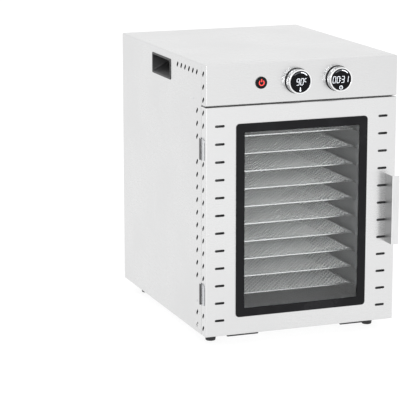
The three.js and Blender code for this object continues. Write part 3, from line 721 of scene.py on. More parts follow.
def side_grip(side, sign):
    """A stack of rounded rectangles in the side's plane: over the outside of the cup, round the lip, and
    down the inside to its back. Each ring is (out, y inset, lower z, upper z inset, corner radius)."""
    name = f"{side}_grip_cup"
    low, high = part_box(name)
    face = high.x if sign > 0 else -low.x
    wall, lip, edge, roll = 1.5 * MM, 3.8 * MM, 2.3 * MM, 0.9 * MM
    outside = face - 1.1 * MM
    inside = face - (high.x - low.x)
    slope_foot, slope_head = low.z + edge + wall, (low.z + high.z) / 2 - 2 * MM
    turn = np.linspace(0, np.pi / 2, 5)
    rings = [
        (inside, edge, slope_head - wall, edge, 2.5 * MM),
        (inside + 1.2 * MM, edge, slope_head - wall, edge, 3.2 * MM),
        (outside + 0.3 * MM, edge, slope_foot - wall, edge, 3.2 * MM),
        (outside + 0.3 * MM, 0.0, low.z, 0.0, 2.6 * MM),
    ]
    for a in turn:
        inset = 0.7 * MM * (1 - math.cos(a))
        out = outside + 0.35 * MM + (face - outside - 0.35 * MM) * math.sin(a)
        rings.append((out, inset, low.z + inset, inset, 2.6 * MM))
    for a in turn:
        inset = lip - roll * math.cos(a)
        out = face - roll * (1 - math.cos(a)) * 1.2
        rings.append((out, inset, slope_foot - roll * math.cos(a), inset, 3.0 * MM))
    rings += [
        (inside + wall + 2 * MM, lip, slope_head - 0.5 * MM, lip, 3.0 * MM),
        (inside + wall + 0.6 * MM, lip + 0.3 * MM, slope_head + 0.2 * MM, lip + 0.3 * MM, 2.8 * MM),
        (inside + wall, lip + 1.2 * MM, slope_head + 1.2 * MM, lip + 1.2 * MM, 2.0 * MM),
    ]
    stack = []
    for out, inset, lower, upper, radius in rings:
        outline = rounded_outline((low.y + inset, lower), (high.y - inset, high.z - upper), radius)
        stack.append(np.insert(outline, 0, sign * out, axis=1))
    new_piece(
        f"{side}_grip",
        [stacked(np.array(stack), "capped")],
        black_plastic,
        "cabinet",
        [name],
    )


side_grip("left", -1.0)
side_grip("right", 1.0)

# ---------------------------------------------------------------- control panel
# A sheet folded into an open-backed box, its front edges bent round a small radius, with the same brushed
# finish as the wrap. It is punched for two display columns and the power button, and vented at the sides.


def stepped_block(low, high, levels, axis, radii, steps=7):
    """A stack of one rounded rectangle, closed at both ends: at each (inset, level) it lies at the level
    along the axis, drawn in by the inset."""
    first, second = [other for other in range(3) if other != axis]
    rings = []
    for inset, level in levels:
        corner, opposite = (low[first], low[second]), (high[first], high[second])
        outline = rounded_outline(corner, opposite, radii, inset, steps)
        rings.append(np.insert(outline, axis, level, axis=1))
    return stacked(np.array(rings), "capped")


def folded_box(low, high, radii):
    """An open-backed box of sheet: outlines drawn in by the bend's sagitta and set back by its rise, from
    the middle of the inner face out to the rim, round its edge, and back to the middle of the outer."""
    turn = np.linspace(0, np.pi / 2, 7)
    inner, outer = bend - sheet, bend
    inside = [(sheet + inner * (1 - math.cos(a)), low.y + sheet + inner * (1 - math.sin(a))) for a in turn]
    outside = [(outer * (1 - math.cos(a)), low.y + outer * (1 - math.sin(a))) for a in turn]
    levels = [*inside[::-1], (sheet, high.y), (0.0, high.y), *outside]
    return stepped_block(low, high, levels, 1, radii)


front_vents_y = 11.2 * MM
panel_low, panel_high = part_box("control_panel")
knob_names = ("temperature", "time")


def middle(name):
    """The centre of a CAD node's box."""
    low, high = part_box(name)
    return (low + high) / 2


def round_hole(centre, radius, steps=48):
    angle = np.linspace(0, 2 * np.pi, steps, endpoint=False)
    return np.stack([centre.x + radius * np.cos(angle), centre.z + radius * np.sin(angle)], -1)


def control_panel():
    panel = new_piece(
        "panel_sheet",
        [folded_box(panel_low, panel_high, [1 * MM, 1 * MM, bend, bend])],
        cabinet_steel,
        "cabinet",
        ["control_panel"],
    )
    vents = pairs(panel_low.y + front_vents_y, vent_z[-panel_vents:])
    column_radius, button_radius = 14 * MM, 9 * MM
    columns = np.stack([round_hole(middle(f"{name}_display"), column_radius) for name in knob_names])
    button = round_hole(middle("power_button"), button_radius)
    through = (panel_low.y - 1 * MM, panel_low.y + 3 * MM)
    cut_away(panel, [
        prisms(columns, *through, 1),
        prisms(button[None], *through, 1),
        side_vents(vents, panel_low, panel_high),
    ])
    lay_grain(panel, (0, 1, 2))
    eased_edges(panel, 0.1 * MM)


control_panel()

# ---------------------------------------------------------------- knobs and displays
# Each knob is a turned aluminium ring that runs round a fixed black display: a flat bright front, and
# behind it a knurled skirt painted dark grey as painted shade. The display's figures are lit seven-stroke
# numerals on black glass.


def turned_finish_group():
    """Concentric tool marks about the Y axis of a centred vector: noise read along the distance from it.
    The distance is handed on too."""
    inputs = [("Vector", "NodeSocketVector", None), ("Marks per metre", "NodeSocketFloat", 4200.0)]
    outputs = [("Mark", "NodeSocketFloat"), ("Distance", "NodeSocketFloat")]
    group, given, out = shader_group("turned_finish", inputs, outputs)
    parts = add_node(group, "ShaderNodeSeparateXYZ", {0: given[0]})
    across = add_node(group, "ShaderNodeCombineXYZ", {0: parts.outputs[0], 1: parts.outputs[2]})
    distance = add_node(group, "ShaderNodeVectorMath", {0: across.outputs[0]}, operation="LENGTH")
    along = math_node(group, "MULTIPLY", distance.outputs["Value"], given[1])
    sockets = {"W": along, "Scale": 1.0, "Detail": 2.0}
    marks = add_node(group, "ShaderNodeTexNoise", sockets, noise_dimensions="1D")
    group.links.new(marks.outputs[0], out[0])
    group.links.new(distance.outputs["Value"], out[1])
    return group


turned_finish = turned_finish_group()


def turned_aluminium(name, centre):
    """Satin aluminium with the lathe's fine rings about a knob's own centre, with the skirt painted dark grey
    as painted shade.
    """
    material, tree, shader = new_material(name, Metallic=1.0)
    place = object_place(tree)
    centred = add_node(tree, "ShaderNodeMapping", {"Vector": place, "Location": tuple(-centre)})
    marks = placed_group(tree, turned_finish, {"Vector": centred.outputs[0]})
    worn = placed_group(tree, edge_wear, {"Vector": place, "Width": 0.0004})
    shade = between(tree, marks["Mark"], 0.3, 0.7, 0.0, 1.0)
    face = mixed(tree, shade, (0.92, 0.925, 0.93), (0.84, 0.845, 0.85))
    # Painted shade: faces beyond these distances from the axis, the knurled skirt, go dark grey.
    skirt_start, skirt_full = 20.5 * MM, 20.8 * MM
    skirt = between(tree, marks["Distance"], skirt_start, skirt_full, 0.0, 1.0)
    colour = mixed(tree, skirt, face, (0.34, 0.345, 0.35))
    tree.links.new(mixed(tree, worn["Edge"], colour, (0.90, 0.90, 0.90)), shader["Base Color"])
    tree.links.new(between(tree, shade, 0.0, 1.0, 0.2, 0.34), shader["Roughness"])
    relief(tree, shader, marks["Mark"], 0.3, 0.00001)
    return material


def smudges_group():
    """Faint finger marks and haze on gloss: a slow noise pushed through a finer one, from 0 to 1."""
    group, given, out = shader_group(
        "smudges", [("Vector", "NodeSocketVector", None)], [("Haze", "NodeSocketFloat")]
    )
    slow = add_node(group, "ShaderNodeTexNoise", {"Vector": given[0], "Scale": 14.0, "Detail": 3.0})
    fine = add_node(group, "ShaderNodeTexNoise", {"Vector": given[0], "Scale": 260.0, "Detail": 2.0})
    wide = between(group, slow.outputs[0], 0.48, 0.7, 0.0, 1.0)
    broken = between(group, fine.outputs[0], 0.3, 0.7, 0.4, 1.0)
    group.links.new(math_node(group, "MULTIPLY", wide, broken), out[0])
    return group


smudges = smudges_group()


def black_gloss(name, tone, rough, **constants):
    """Black glass or enamel with faint marks of handling in its gloss."""
    material, tree, shader = new_material(name, **constants)
    place = object_place(tree)
    haze = placed_group(tree, smudges, {"Vector": place})
    pale = tuple(part * 1.8 + 0.002 for part in tone)
    tree.links.new(mixed(tree, haze["Haze"], tone, pale), shader["Base Color"])
    tree.links.new(between(tree, haze["Haze"], 0.0, 1.0, rough, rough + 0.16), shader["Roughness"])
    return material


display_black = black_gloss("display_glass", (0.004, 0.004, 0.005), 0.08, Specular_IOR_Level=0.1)
control_black = moulded(
    "control_black", (0.005, 0.005, 0.006), (0.02, 0.02, 0.021), (0.4, 0.5), Specular_IOR_Level=0.15
)


def lit(name, tone, strength):
    """A lit stroke: its glow varies slightly from place to place behind the diffuser."""
    material, tree, shader = new_material(name, Roughness=0.5, Emission_Strength=strength)
    place = object_place(tree)
    uneven = add_node(tree, "ShaderNodeTexNoise", {"Vector": place, "Scale": 420.0, "Detail": 1.0})
    dim = tuple(part * 0.82 for part in tone)
    glow = mixed(tree, between(tree, uneven.outputs[0], 0.35, 0.65, 0.0, 1.0), dim, tone)
    tree.links.new(glow, shader["Emission Color"])
    tree.links.new(glow, shader["Base Color"])
    return material


lit_white = lit("lit_white", (0.86, 0.90, 0.95), 0.75)
lit_dim = lit("lit_dim", (0.30, 0.32, 0.35), 0.45)
lit_red = lit("lit_red", (0.90, 0.06, 0.05), 0.75)


def knob_ring(name):
    """A closed profile turned about Y. On the skirt, behind the groove that parts it from the front, the
    radius falls and rises with the cosine of the angle, once for each knurl."""
    low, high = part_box(f"{name}_knob")
    centre = (low + high) / 2
    outer, front, rear = (high.x - low.x) / 2, low.y, high.y
    inner, bore, step = 18.3 * MM, 13.5 * MM, high.y - 1.9 * MM
    skirt_front, skirt_rear, knurls, knurl_depth = front + 2.2 * MM, rear - 2.2 * MM, 90, 0.32 * MM
    corners = [
        (inner, step),
        (bore, step),
        (bore, rear),
        (outer - 0.5 * MM, rear),
        (outer - 0.5 * MM, skirt_rear + 0.5 * MM),
        (outer, skirt_rear),
        (outer, skirt_front),
        (outer - 0.6 * MM, skirt_front - 0.4 * MM),
        (outer - 0.1 * MM, skirt_front - 0.8 * MM),
        (outer - 0.1 * MM, front + 0.3 * MM),
        (outer - 0.5 * MM, front),
        (inner + 0.3 * MM, front),
        (inner, front + 0.4 * MM),
    ]
    cuts = np.array([0.2, 0.2, 0.2, 0.3, 0.3, 0.2, 0.2, 0.2, 0.2, 0.2, 0.2, 0.15, 0.15]) * MM
    points, arrays = turned(filleted(corners, cuts, 4), centre, 1, steps=540, closed=True)
    across = points[:, [0, 2]] - np.array([centre.x, centre.z])
    radius, angle = np.hypot(*across.T), np.arctan2(across[:, 1], across[:, 0])
    on_skirt = (radius > outer - 0.15 * MM) & (points[:, 1] > skirt_front - 0.1 * MM)
    dip = on_skirt * knurl_depth * (0.5 + 0.5 * np.cos(knurls * angle))
    points[:, [0, 2]] -= across / radius[:, None] * dip[:, None]
    new_piece(
        f"{name}_ring",
        [(points, arrays)],
        turned_aluminium(f"{name}_aluminium", centre),
        f"{name}_knob",
        [f"{name}_knob"],
    )


def collar(name, centre, bore, cuts, fillet_steps, turn_steps):
    """A flat black ring round a control: a rectangle with eased corners turned about Y."""
    low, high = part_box(f"{name}_bezel")
    wide = (high.x - low.x) / 2
    corners = [(bore, low.y), (wide, low.y), (wide, high.y), (bore, high.y)]
    profile = filleted(corners, cuts, fillet_steps)
    new_piece(
        f"{name}_collar",
        [turned(profile, centre, 1, steps=turn_steps, closed=True)],
        control_black,
        "cabinet",
        [f"{name}_bezel"],
    )


def display_body(name):
    low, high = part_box(f"{name}_display")
    centre = (low + high) / 2
    wide, column, shoulder = (high.x - low.x) / 2, 13 * MM, low.y + 11.5 * MM
    corners = [
        (0, low.y),
        (wide, low.y),
        (wide, shoulder),
        (column, shoulder),
        (column, high.y),
        (0, high.y),
    ]
    cuts = np.array([0, 0.8, 0.3, 0.3, 0.4, 0]) * MM
    new_piece(
        f"{name}_display_glass",
        [turned(filleted(corners, cuts, 6, closed=False), centre, 1, steps=96)],
        display_black,
        "cabinet",
        [f"{name}_display"],
    )
    # Painted shade in part: the black collar round each knob is a seat ring, and its rim past the knob also
    # stands for the shade in the gap under it.
    collar(name, centre, 14.2 * MM, 0.25 * MM, 4, 96)


numeral_height, numeral_width, stroke = 10.6 * MM, 4.6 * MM, 0.78 * MM
numeral_slant = math.tan(math.radians(7))
STROKES = {"0": "abcdef", "1": "bc", "3": "abcdg", "9": "abcdfg", "degree": "adef"}


def numeral(kind, height=numeral_height, width=numeral_width):
    """The strokes of a seven-stroke figure, as six-cornered outlines about its middle: each is a bar with
    pointed ends, laid level (a, g, d) or upright (f, b, e, c), then sheared to slant the figure."""
    level = {"a": height / 2, "g": 0.0, "d": -height / 2}
    upright = {"f": (-1, 1), "b": (1, 1), "e": (-1, -1), "c": (1, -1)}
    bars = []
    for key in STROKES[kind]:
        long = (width if key in level else height / 2) / 2 - 0.1 * MM
        half = stroke / 2
        near = [(-long, 0), (half - long, -half), (long - half, -half)]
        bar = np.array([*near, *[(-x, -y) for x, y in near]])
        if key in level:
            bars.append(bar + [0, level[key]])
        else:
            across, up = upright[key]
            bars.append(bar[:, ::-1] + [across * width / 2, up * height / 4])
    bars = np.array(bars)
    bars[..., 0] += bars[..., 1] * numeral_slant
    return bars


def arc_band(radius, thickness, start, end, steps=24):
    """A band of even thickness along an arc, its angles in degrees clockwise from the top."""
    angle = np.radians(np.linspace(start, end, steps))
    way = np.stack([np.sin(angle), np.cos(angle)], -1)
    return np.concatenate([way * (radius + thickness / 2), way[::-1] * (radius - thickness / 2)])


def lit_strokes(name, outlines, centre, face, material, body="cabinet"):
    """Outlines drawn about a centre, as flat strokes that stand 0.1 mm proud of a face toward -Y."""
    rise, sunk = 0.1 * MM, 0.2 * MM
    flat = [prisms(group + np.array([centre.x, centre.z]), face - rise, face + sunk, 1) for group in outlines]
    new_piece(name, flat, material, body)


def scale_ticks(radius, length, thickness, angles):
    """Short bars that point at the centre, one at each angle in degrees clockwise from the top."""
    way = np.stack([np.sin(np.radians(angles)), np.cos(np.radians(angles))], -1)[:, None]
    side = way[..., ::-1] * [1, -1] * thickness / 2
    near, far = way * (radius - length / 2), way * (radius + length / 2)
    return np.concatenate([near - side, near + side, far + side, far - side], 1)


def display_figures(name, kinds, places, small=()):
    """Figures at places along X in millimetres, small signs at (x, z), a lit arc of the scale with dim
    ticks before it, and a colon with a clock under the time or a thermometer under the temperature."""
    centre = middle(f"{name}_display")
    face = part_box(f"{name}_display")[0].y
    small_height, small_width = 5.6 * MM, 3.2 * MM
    scale_radius, arc_width, tick_length, tick_width = 15.7 * MM, 1.4 * MM, 1.5 * MM, 0.5 * MM
    shown = [numeral(kind) + [x * MM, 0] for kind, x in zip(kinds, places)]
    shown += [numeral(kind, small_height, small_width) + [x * MM, z * MM] for kind, x, z in small]
    shown.append(arc_band(scale_radius, arc_width, 4, 48)[None])
    if name == "time":
        colon = np.array([[0.0, 2.0 * MM], [-0.4 * MM, -2.0 * MM]]) + [-0.9 * MM, 0]
        shown.append(stadiums(colon, 1.5 * MM, 1.1 * MM))
        clock = arc_band(2.9 * MM, 0.8 * MM, 0, 359, 40) + [0, -13.6 * MM]
        hands = stadiums([[0, -12.7 * MM]], 2.2 * MM, 0.6 * MM, math.pi / 2)
        shown += [clock[None], hands]
    else:
        stem = stadiums([[0, -12.2 * MM]], 6 * MM, 1.5 * MM, math.pi / 2)
        bulb = stadiums([[0, -14.9 * MM]], 2.9 * MM, 2.8 * MM)
        shown += [stem, bulb]
    lit_strokes(f"{name}_figures", shown, centre, face, lit_white)
    ticks = scale_ticks(scale_radius, tick_length, tick_width, np.arange(-40, 3, 6))
    lit_strokes(f"{name}_scale", [ticks], centre, face, lit_dim)


for knob_name in knob_names:
    knob_ring(knob_name)
    display_body(knob_name)
display_figures("temperature", ["9", "0"], [-4.2, 3.0], [("degree", 9.4, 2.5)])
display_figures("time", ["0", "0", "3", "1"], [-12.6, -5.2, 3.2, 10.6])

# ---------------------------------------------------------------- power button
# A round black cap that travels in a thin black bezel, with a lit red ring and bar let into its face.


def power_button():
    low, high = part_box("power_button")
    centre = (low + high) / 2
    wide, stem, under = (high.x - low.x) / 2, 3 * MM, low.y + 5.1 * MM
    corners = [
        (0, low.y + 0.25 * MM),
        (wide * 0.6, low.y + 0.15 * MM),
        (wide, low.y),
        (wide, under),
        (stem, under),
        (stem, high.y),
        (0, high.y),
    ]
    cuts = np.array([0, 1.5, 0.7, 0.3, 0.3, 0.3, 0]) * MM
    new_piece(
        "power_cap",
        [turned(filleted(corners, cuts, 6, closed=False), centre, 1, steps=72)],
        control_black,
        "power_button",
        ["power_button"],
    )
    ring = arc_band(4.3 * MM, 1.5 * MM, 38, 322, 48)[None]
    bar = stadiums([[0, 3.9 * MM]], 5.2 * MM, 1.5 * MM, math.pi / 2)
    lit_strokes("power_mark", [ring, bar], centre, low.y + 0.15 * MM, lit_red, "power_button")
    collar("power", centre, wide + 0.4 * MM, [0.3 * MM, 0.8 * MM, 0.1 * MM, 0.1 * MM], 5, 72)


power_button()

# ---------------------------------------------------------------- boards behind the panel
# Two green fibreglass boards: one behind the displays, and the power supply on four posts on the shelf
# that divides the control space from the chamber. Both keep the shape of their own solids.


def board_laminate():
    """Solder mask over glass cloth: a fine weave in its gloss, and darker and paler areas of copper."""
    material, tree, shader = new_material("circuit_board", Specular_IOR_Level=0.5)
    place = object_place(tree)
    weave = add_node(
        tree, "ShaderNodeTexVoronoi", {"Vector": place, "Scale": 900.0}, distance="CHEBYCHEV"
    )
    copper = add_node(
        tree, "ShaderNodeTexVoronoi", {"Vector": place, "Scale": 130.0}, distance="MANHATTAN"
    )
    area = between(tree, copper.outputs["Distance"], 0.45, 0.5, 0.0, 1.0)
    colour = mixed(tree, area, (0.022, 0.12, 0.05), (0.012, 0.075, 0.03))
    tree.links.new(colour, shader["Base Color"])
    tree.links.new(between(tree, weave.outputs["Distance"], 0.0, 0.6, 0.28, 0.44), shader["Roughness"])
    relief(tree, shader, weave.outputs["Distance"], 0.2, 0.00004)
    return material


paint_nodes(board_laminate(), "control_board", "power_board")
liner_steel = fine_grain("liner_steel", (0.36, 0.365, 0.375), (0.29, 0.295, 0.305), (0.34, 0.5), 700.0)
paint_nodes(liner_steel, "divider_shelf")

# ---------------------------------------------------------------- power inlet
# A moulded socket for a detachable lead, screwed to the rear panel through its flange, with three flat
# plated pins that stand in the recess.


def power_inlet():
    low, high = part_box("power_inlet")
    centre = (low + high) / 2
    flange_x, flange_z, housing_x, housing_z = 25 * MM, 14 * MM, 21 * MM, 11 * MM
    flange_front, depth = high.y - 2.9 * MM, 15 * MM
    socket_radii = np.array([1, 1, 5, 5]) * MM

    def ring(half_x, half_z, radii, y):
        corner, opposite = (centre.x - half_x, centre.z - half_z), (centre.x + half_x, centre.z + half_z)
        return np.insert(rounded_outline(corner, opposite, radii), 1, y, axis=1)

    rings = [
        ring(housing_x - 0.6 * MM, housing_z - 0.6 * MM, 0.8 * MM, low.y),
        ring(housing_x, housing_z, 1.2 * MM, low.y + 0.6 * MM),
        ring(housing_x, housing_z, 1.2 * MM, flange_front + 0.3 * MM),
        ring(flange_x, flange_z, 3 * MM, flange_front + 0.3 * MM),
        ring(flange_x, flange_z, 3 * MM, high.y - 0.8 * MM),
        ring(flange_x - 0.3 * MM, flange_z - 0.3 * MM, 2.7 * MM, high.y - 0.25 * MM),
        ring(flange_x - 0.8 * MM, flange_z - 0.8 * MM, 2.2 * MM, high.y),
        ring(12.9 * MM, 8.9 * MM, socket_radii + 0.4 * MM, high.y),
        ring(12.5 * MM, 8.5 * MM, socket_radii, high.y - 0.4 * MM),
        ring(12.5 * MM, 8.5 * MM, socket_radii, high.y - depth),
    ]
    new_piece(
        "inlet_socket",
        [stacked(np.array(rings), "capped")],
        black_plastic,
        "cabinet",
        ["power_inlet"],
    )
    pin_centres = np.array([[0, 2.6], [-5, -2.2], [5, -2.2]]) * MM
    pins = stadiums(pin_centres, 4.4 * MM, 1.6 * MM, math.pi / 2) + np.array([centre.x, centre.z])
    new_piece(
        "inlet_pins",
        [prisms(pins, high.y - depth - 0.5 * MM, high.y - 4 * MM, 1)],
        plated_steel,
        "cabinet",
    )
    head = facing(cross_head(2.6 * MM, 1.2 * MM), 1, 1.0)
    spots = [(centre.x + side * (flange_x - 4 * MM), high.y - 1.2 * MM, centre.z) for side in (-1, 1)]
    new_piece("inlet_screws", [copies(head, spots)], plated_steel, "cabinet")


power_inlet()

# ---------------------------------------------------------------- drying chamber
# Plain mill-finish sheets: two sides with ten folded ledges each, a top, a floor and a rear baffle with
# ports for the air. A pressed guard stands in front of the fan, and a bracket carries the motor.
paint_nodes(liner_steel, "liner_left", "liner_right", "liner_top", "liner_floor", "motor_bracket")
baffle_steel = fine_grain("baffle_steel", (0.84, 0.842, 0.845), (0.76, 0.762, 0.766), (0.4, 0.55), 700.0)
paint_nodes(baffle_steel, "air_baffle", "fan_guard")

# ---------------------------------------------------------------- fan, motor and heater
# A plated impeller on a bright shaft, a motor in a coated case with a stamped rim, and a ring of sheathed
# heater rod round them, its steel tinted by heat.
paint_nodes(plated_steel, "fan_impeller", "motor_shaft")


def coated_case():
    """Dark grey baked enamel: orange peel in its relief, paler where its edges rub."""
    material, tree, shader = new_material("motor_enamel", Specular_IOR_Level=0.5)
    place = object_place(tree)
    peel = placed_group(tree, moulded_grain, {"Vector": place, "Grain per metre": 480.0})
    worn = placed_group(tree, edge_wear, {"Vector": place, "Width": 0.0008})
    shade = between(tree, peel["Shade"], 0.35, 0.65, 0.0, 1.0)
    colour = mixed(tree, shade, (0.045, 0.048, 0.052), (0.062, 0.066, 0.07))
    tree.links.new(mixed(tree, worn["Edge"], colour, (0.20, 0.20, 0.205)), shader["Base Color"])
    tree.links.new(between(tree, peel["Shade"], 0.3, 0.7, 0.3, 0.5), shader["Roughness"])
    relief(tree, shader, peel["Height"], 0.3, 0.0001)
    return material


def heated_sheath():
    """Sheathed rod: straw and violet tints drift along it, as they do on steel that has been hot."""
    material, tree, shader = new_material("heater_sheath", Metallic=1.0)
    place = object_place(tree)
    drift = add_node(tree, "ShaderNodeTexNoise", {"Vector": place, "Scale": 22.0, "Detail": 3.0})
    specks = add_node(tree, "ShaderNodeTexNoise", {"Vector": place, "Scale": 700.0, "Detail": 2.0})
    straw = between(tree, drift.outputs[0], 0.42, 0.52, 0.0, 1.0)
    violet = between(tree, drift.outputs[0], 0.54, 0.64, 0.0, 1.0)
    colour = mixed(tree, straw, (0.19, 0.18, 0.17), (0.27, 0.20, 0.13))
    tree.links.new(mixed(tree, violet, colour, (0.16, 0.14, 0.20)), shader["Base Color"])
    tree.links.new(between(tree, specks.outputs[0], 0.3, 0.7, 0.36, 0.58), shader["Roughness"])
    return material


motor_enamel = coated_case()
paint_nodes(motor_enamel, "fan_motor")
paint_nodes(heated_sheath(), "heater_element")

# ---------------------------------------------------------------- mesh trays
# Ten shallow trays: expanded steel mesh, its diamond openings drawn from slit sheet, welded to a flat
# rim of folded strip. Each slides out on the ledges.


def framed(section, low, high, radii, axis):
    """A closed section, in pairs (inset, level), carried round a rounded rectangle: each point of it
    draws the rectangle in by its inset, at its level along the axis. The corners' radius goes from the
    first of the radii on the outside to the second at the greatest inset."""
    rings = []
    deepest = max(inset for inset, _ in section)
    for inset, level in section:
        radius = radii[0] + (radii[1] - radii[0]) * inset / deepest
        inner_low = (low[0] + inset, low[1] + inset)
        inner_high = (high[0] - inset, high[1] - inset)
        rings.append(np.insert(rounded_outline(inner_low, inner_high, radius), axis, level, axis=1))
    return stacked(np.array(rings), "joined")


def expanded_sheet(low, high, pitch, s, level, wave):
    """A flat sheet of diamond openings: squares side by side, each with a diamond hole at its middle and
    quarter diamonds off its corners. In a square with corners at (0, 0) and (1, 1), the points at a
    distance s along each side from a corner, and at s from the middle along both axes, bound four
    strips that cross between neighbouring openings. The height waves by cos(2 pi y / pitch)."""
    count_x = max(1, round((high[0] - low[0]) / pitch[0]))
    count_y = max(1, round((high[1] - low[1]) / pitch[1]))
    fineness = 1000
    spots = np.array([
        [s, 0], [1 - s, 0], [1, s], [1, 1 - s], [1 - s, 1], [s, 1], [0, 1 - s], [0, s],
        [0.5, 0.5 - s], [0.5 + s, 0.5], [0.5, 0.5 + s], [0.5 - s, 0.5],
    ])
    quads = np.array([[7, 0, 8, 11], [1, 2, 9, 8], [3, 4, 10, 9], [5, 6, 11, 10]])
    necks = np.array([[0, 1, 8], [2, 3, 9], [4, 5, 10], [6, 7, 11]])
    column, row = np.meshgrid(np.arange(count_x), np.arange(count_y), indexing="ij")
    cells = np.stack([column.ravel(), row.ravel()], -1)[:, None, :]
    grid = np.rint((cells + spots) * fineness).astype(np.int64).reshape(-1, 2)
    unique, index = np.unique(grid, axis=0, return_inverse=True)
    index = index.reshape(-1, len(spots))
    place = unique / fineness
    points = np.empty((len(place), 3))
    points[:, 0] = low[0] + place[:, 0] * (high[0] - low[0]) / count_x
    points[:, 1] = low[1] + place[:, 1] * (high[1] - low[1]) / count_y
    points[:, 2] = level + wave * np.cos(2 * np.pi * place[:, 1])
    return points, [index[:, quads].reshape(-1, 4), index[:, necks].reshape(-1, 3)]


tray_steel = fine_grain("tray_steel", (0.92, 0.92, 0.92), (0.86, 0.862, 0.865), (0.5, 0.65), 1500.0, 0.4)
rim_steel = fine_grain("rim_steel", (0.84, 0.845, 0.85), (0.76, 0.765, 0.77), (0.22, 0.34), 1500.0)


def tray(number):
    name = f"tray_{number:02d}"
    low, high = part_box(name)
    rim = 3 * MM
    section = filleted([(0, low.z), (rim, low.z), (rim, high.z), (0, high.z)], 0.6 * MM, 4)
    new_piece(
        f"{name}_rim",
        [framed(section, (low.x, low.y), (high.x, high.y), (3 * MM, 1 * MM), 2)],
        rim_steel,
        name,
        [name],
    )
    inset, pitch, share, wave = rim - 1 * MM, (8 * MM, 11 * MM), 0.36, 0.3 * MM
    corner, opposite = (low.x + inset, low.y + inset), (high.x - inset, high.y - inset)
    mesh = expanded_sheet(corner, opposite, pitch, share, low.z + 0.75 * MM, wave)
    piece = new_piece(f"{name}_mesh", [mesh], tray_steel, name)
    solid = piece.modifiers.new("strand", "SOLIDIFY")
    solid.thickness = 0.5 * MM
    solid.offset = 0.0


for tray_number in range(1, 11):
    tray(tray_number)

# ---------------------------------------------------------------- door skin
# The door's outside: a sheet folded back on all four sides, with a large opening for the window, a column
# of level vents beside it on each side, and leaning vents through both folded sides.
door_low, door_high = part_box("door_skin")
door_steel = brushed_steel("door_steel", (0.73, 0.731, 0.733), (0.685, 0.686, 0.688), (0.24, 0.34))


def door_skin():
    skin = new_piece(
        "door_sheet",
        [folded_box(door_low, door_high, [1.2 * MM] * 4)],
        door_steel,
        "door",
        ["door_skin"],
    )
    column_z = np.delete(vent_z[:-panel_vents], door_hinge_gaps)
    glass_low, glass_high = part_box("window_glass")
    room = 2.1 * MM
    opening = rounded_outline(
        (glass_low.x - room, glass_low.z - room), (glass_high.x + room, glass_high.z + room), 0.5 * MM
    )
    level_reach, level_pitch, level_count = 149.5 * MM, 30.43 * MM, 12
    level_length, level_width = 17.4 * MM, 4.2 * MM
    level_z = door_low.z + 27.8 * MM + level_pitch * np.arange(level_count)
    level = np.concatenate([pairs(centre_x + side * level_reach, level_z) for side in (-1, 1)])
    through = (door_low.y - 1 * MM, door_low.y + 3 * MM)
    cut_away(skin, [
        prisms(opening[None], *through, 1),
        prisms(stadiums(level, level_length, level_width), *through, 1),
        side_vents(pairs(door_low.y + front_vents_y, column_z), door_low, door_high),
        hinge_notches(door_low.y + 17 * MM, door_low.y + 21 * MM),
    ])
    lay_grain(skin, (0, 1, 2))
    eased_edges(skin, 0.1 * MM)


door_skin()

# ---------------------------------------------------------------- door lining, window and gasket
# A plain sheet closes the back of the door and folds in round the window. The pane sits in a moulded
# black border whose flange covers the edge of the opening, and a soft bulb seal runs round behind.
paint_nodes(liner_steel, "door_liner")
border_black = black_gloss("border_black", (0.009, 0.009, 0.010), 0.2, Specular_IOR_Level=0.1)


def window_border():
    low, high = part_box("window_border")
    flange, sleeve, wall = 15.1 * MM, 8.7 * MM, 1.5 * MM
    back = low.y + 1.2 * MM
    corners = [
        (0, back),
        (0, low.y),
        (flange, low.y),
        (flange, back),
        (sleeve + wall, back),
        (sleeve + wall, high.y),
        (sleeve, high.y),
        (sleeve, back),
    ]
    section = filleted(corners, np.array([0.1, 0.7, 0.4, 0.1, 0.2, 0.3, 0.3, 0.2]) * MM, 5)
    new_piece(
        "window_frame",
        [framed(section, (low.x, low.z), (high.x, high.z), (6 * MM, 1.2 * MM), 1)],
        border_black,
        "door",
        ["window_border"],
    )


def clear_glass():
    """Tempered glass with a very slight grey-green body and a breath of haze in its gloss. A ray that
    only looks for a lamp passes straight through, so that the chamber is lit."""
    material, tree, shader = new_material("window_glass", Transmission_Weight=1.0, IOR=1.46, Metallic=0.0)
    place = object_place(tree)
    haze = placed_group(tree, smudges, {"Vector": place})
    tint = mixed(tree, haze["Haze"], (0.93, 0.945, 0.94), (0.90, 0.91, 0.91))
    tree.links.new(tint, shader["Base Color"])
    tree.links.new(between(tree, haze["Haze"], 0.0, 1.0, 0.0, 0.03), shader["Roughness"])
    clear = add_node(tree, "ShaderNodeBsdfTransparent", {})
    rays = add_node(tree, "ShaderNodeLightPath", {})
    glass = tree.nodes["Principled BSDF"].outputs[0]
    sockets = {0: rays.outputs["Is Shadow Ray"], 1: glass, 2: clear.outputs[0]}
    shown = add_node(tree, "ShaderNodeMixShader", sockets)
    tree.links.new(shown.outputs[0], tree.nodes["Material Output"].inputs["Surface"])
    return material


def door_gasket():
    low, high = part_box("door_gasket")
    width, foot = 5 * MM, 0.9 * MM
    corners = [
        (0, low.y),
        (width, low.y),
        (width, low.y + foot),
        (width - 0.9 * MM, low.y + foot + 0.1 * MM),
        (width - 0.6 * MM, high.y),
        (0.6 * MM, high.y),
        (0.9 * MM, low.y + foot + 0.1 * MM),
        (0, low.y + foot),
    ]
    section = filleted(corners, np.array([0.1, 0.1, 0.3, 0.3, 1.3, 1.3, 0.3, 0.3]) * MM, 6)
    new_piece(
        "bulb_seal",
        [framed(section, (low.x, low.z), (high.x, high.z), (8 * MM, 4 * MM), 1)],
        rubber,
        "door",
        ["door_gasket"],
    )


window_border()
paint_nodes(clear_glass(), "window_glass")
door_gasket()
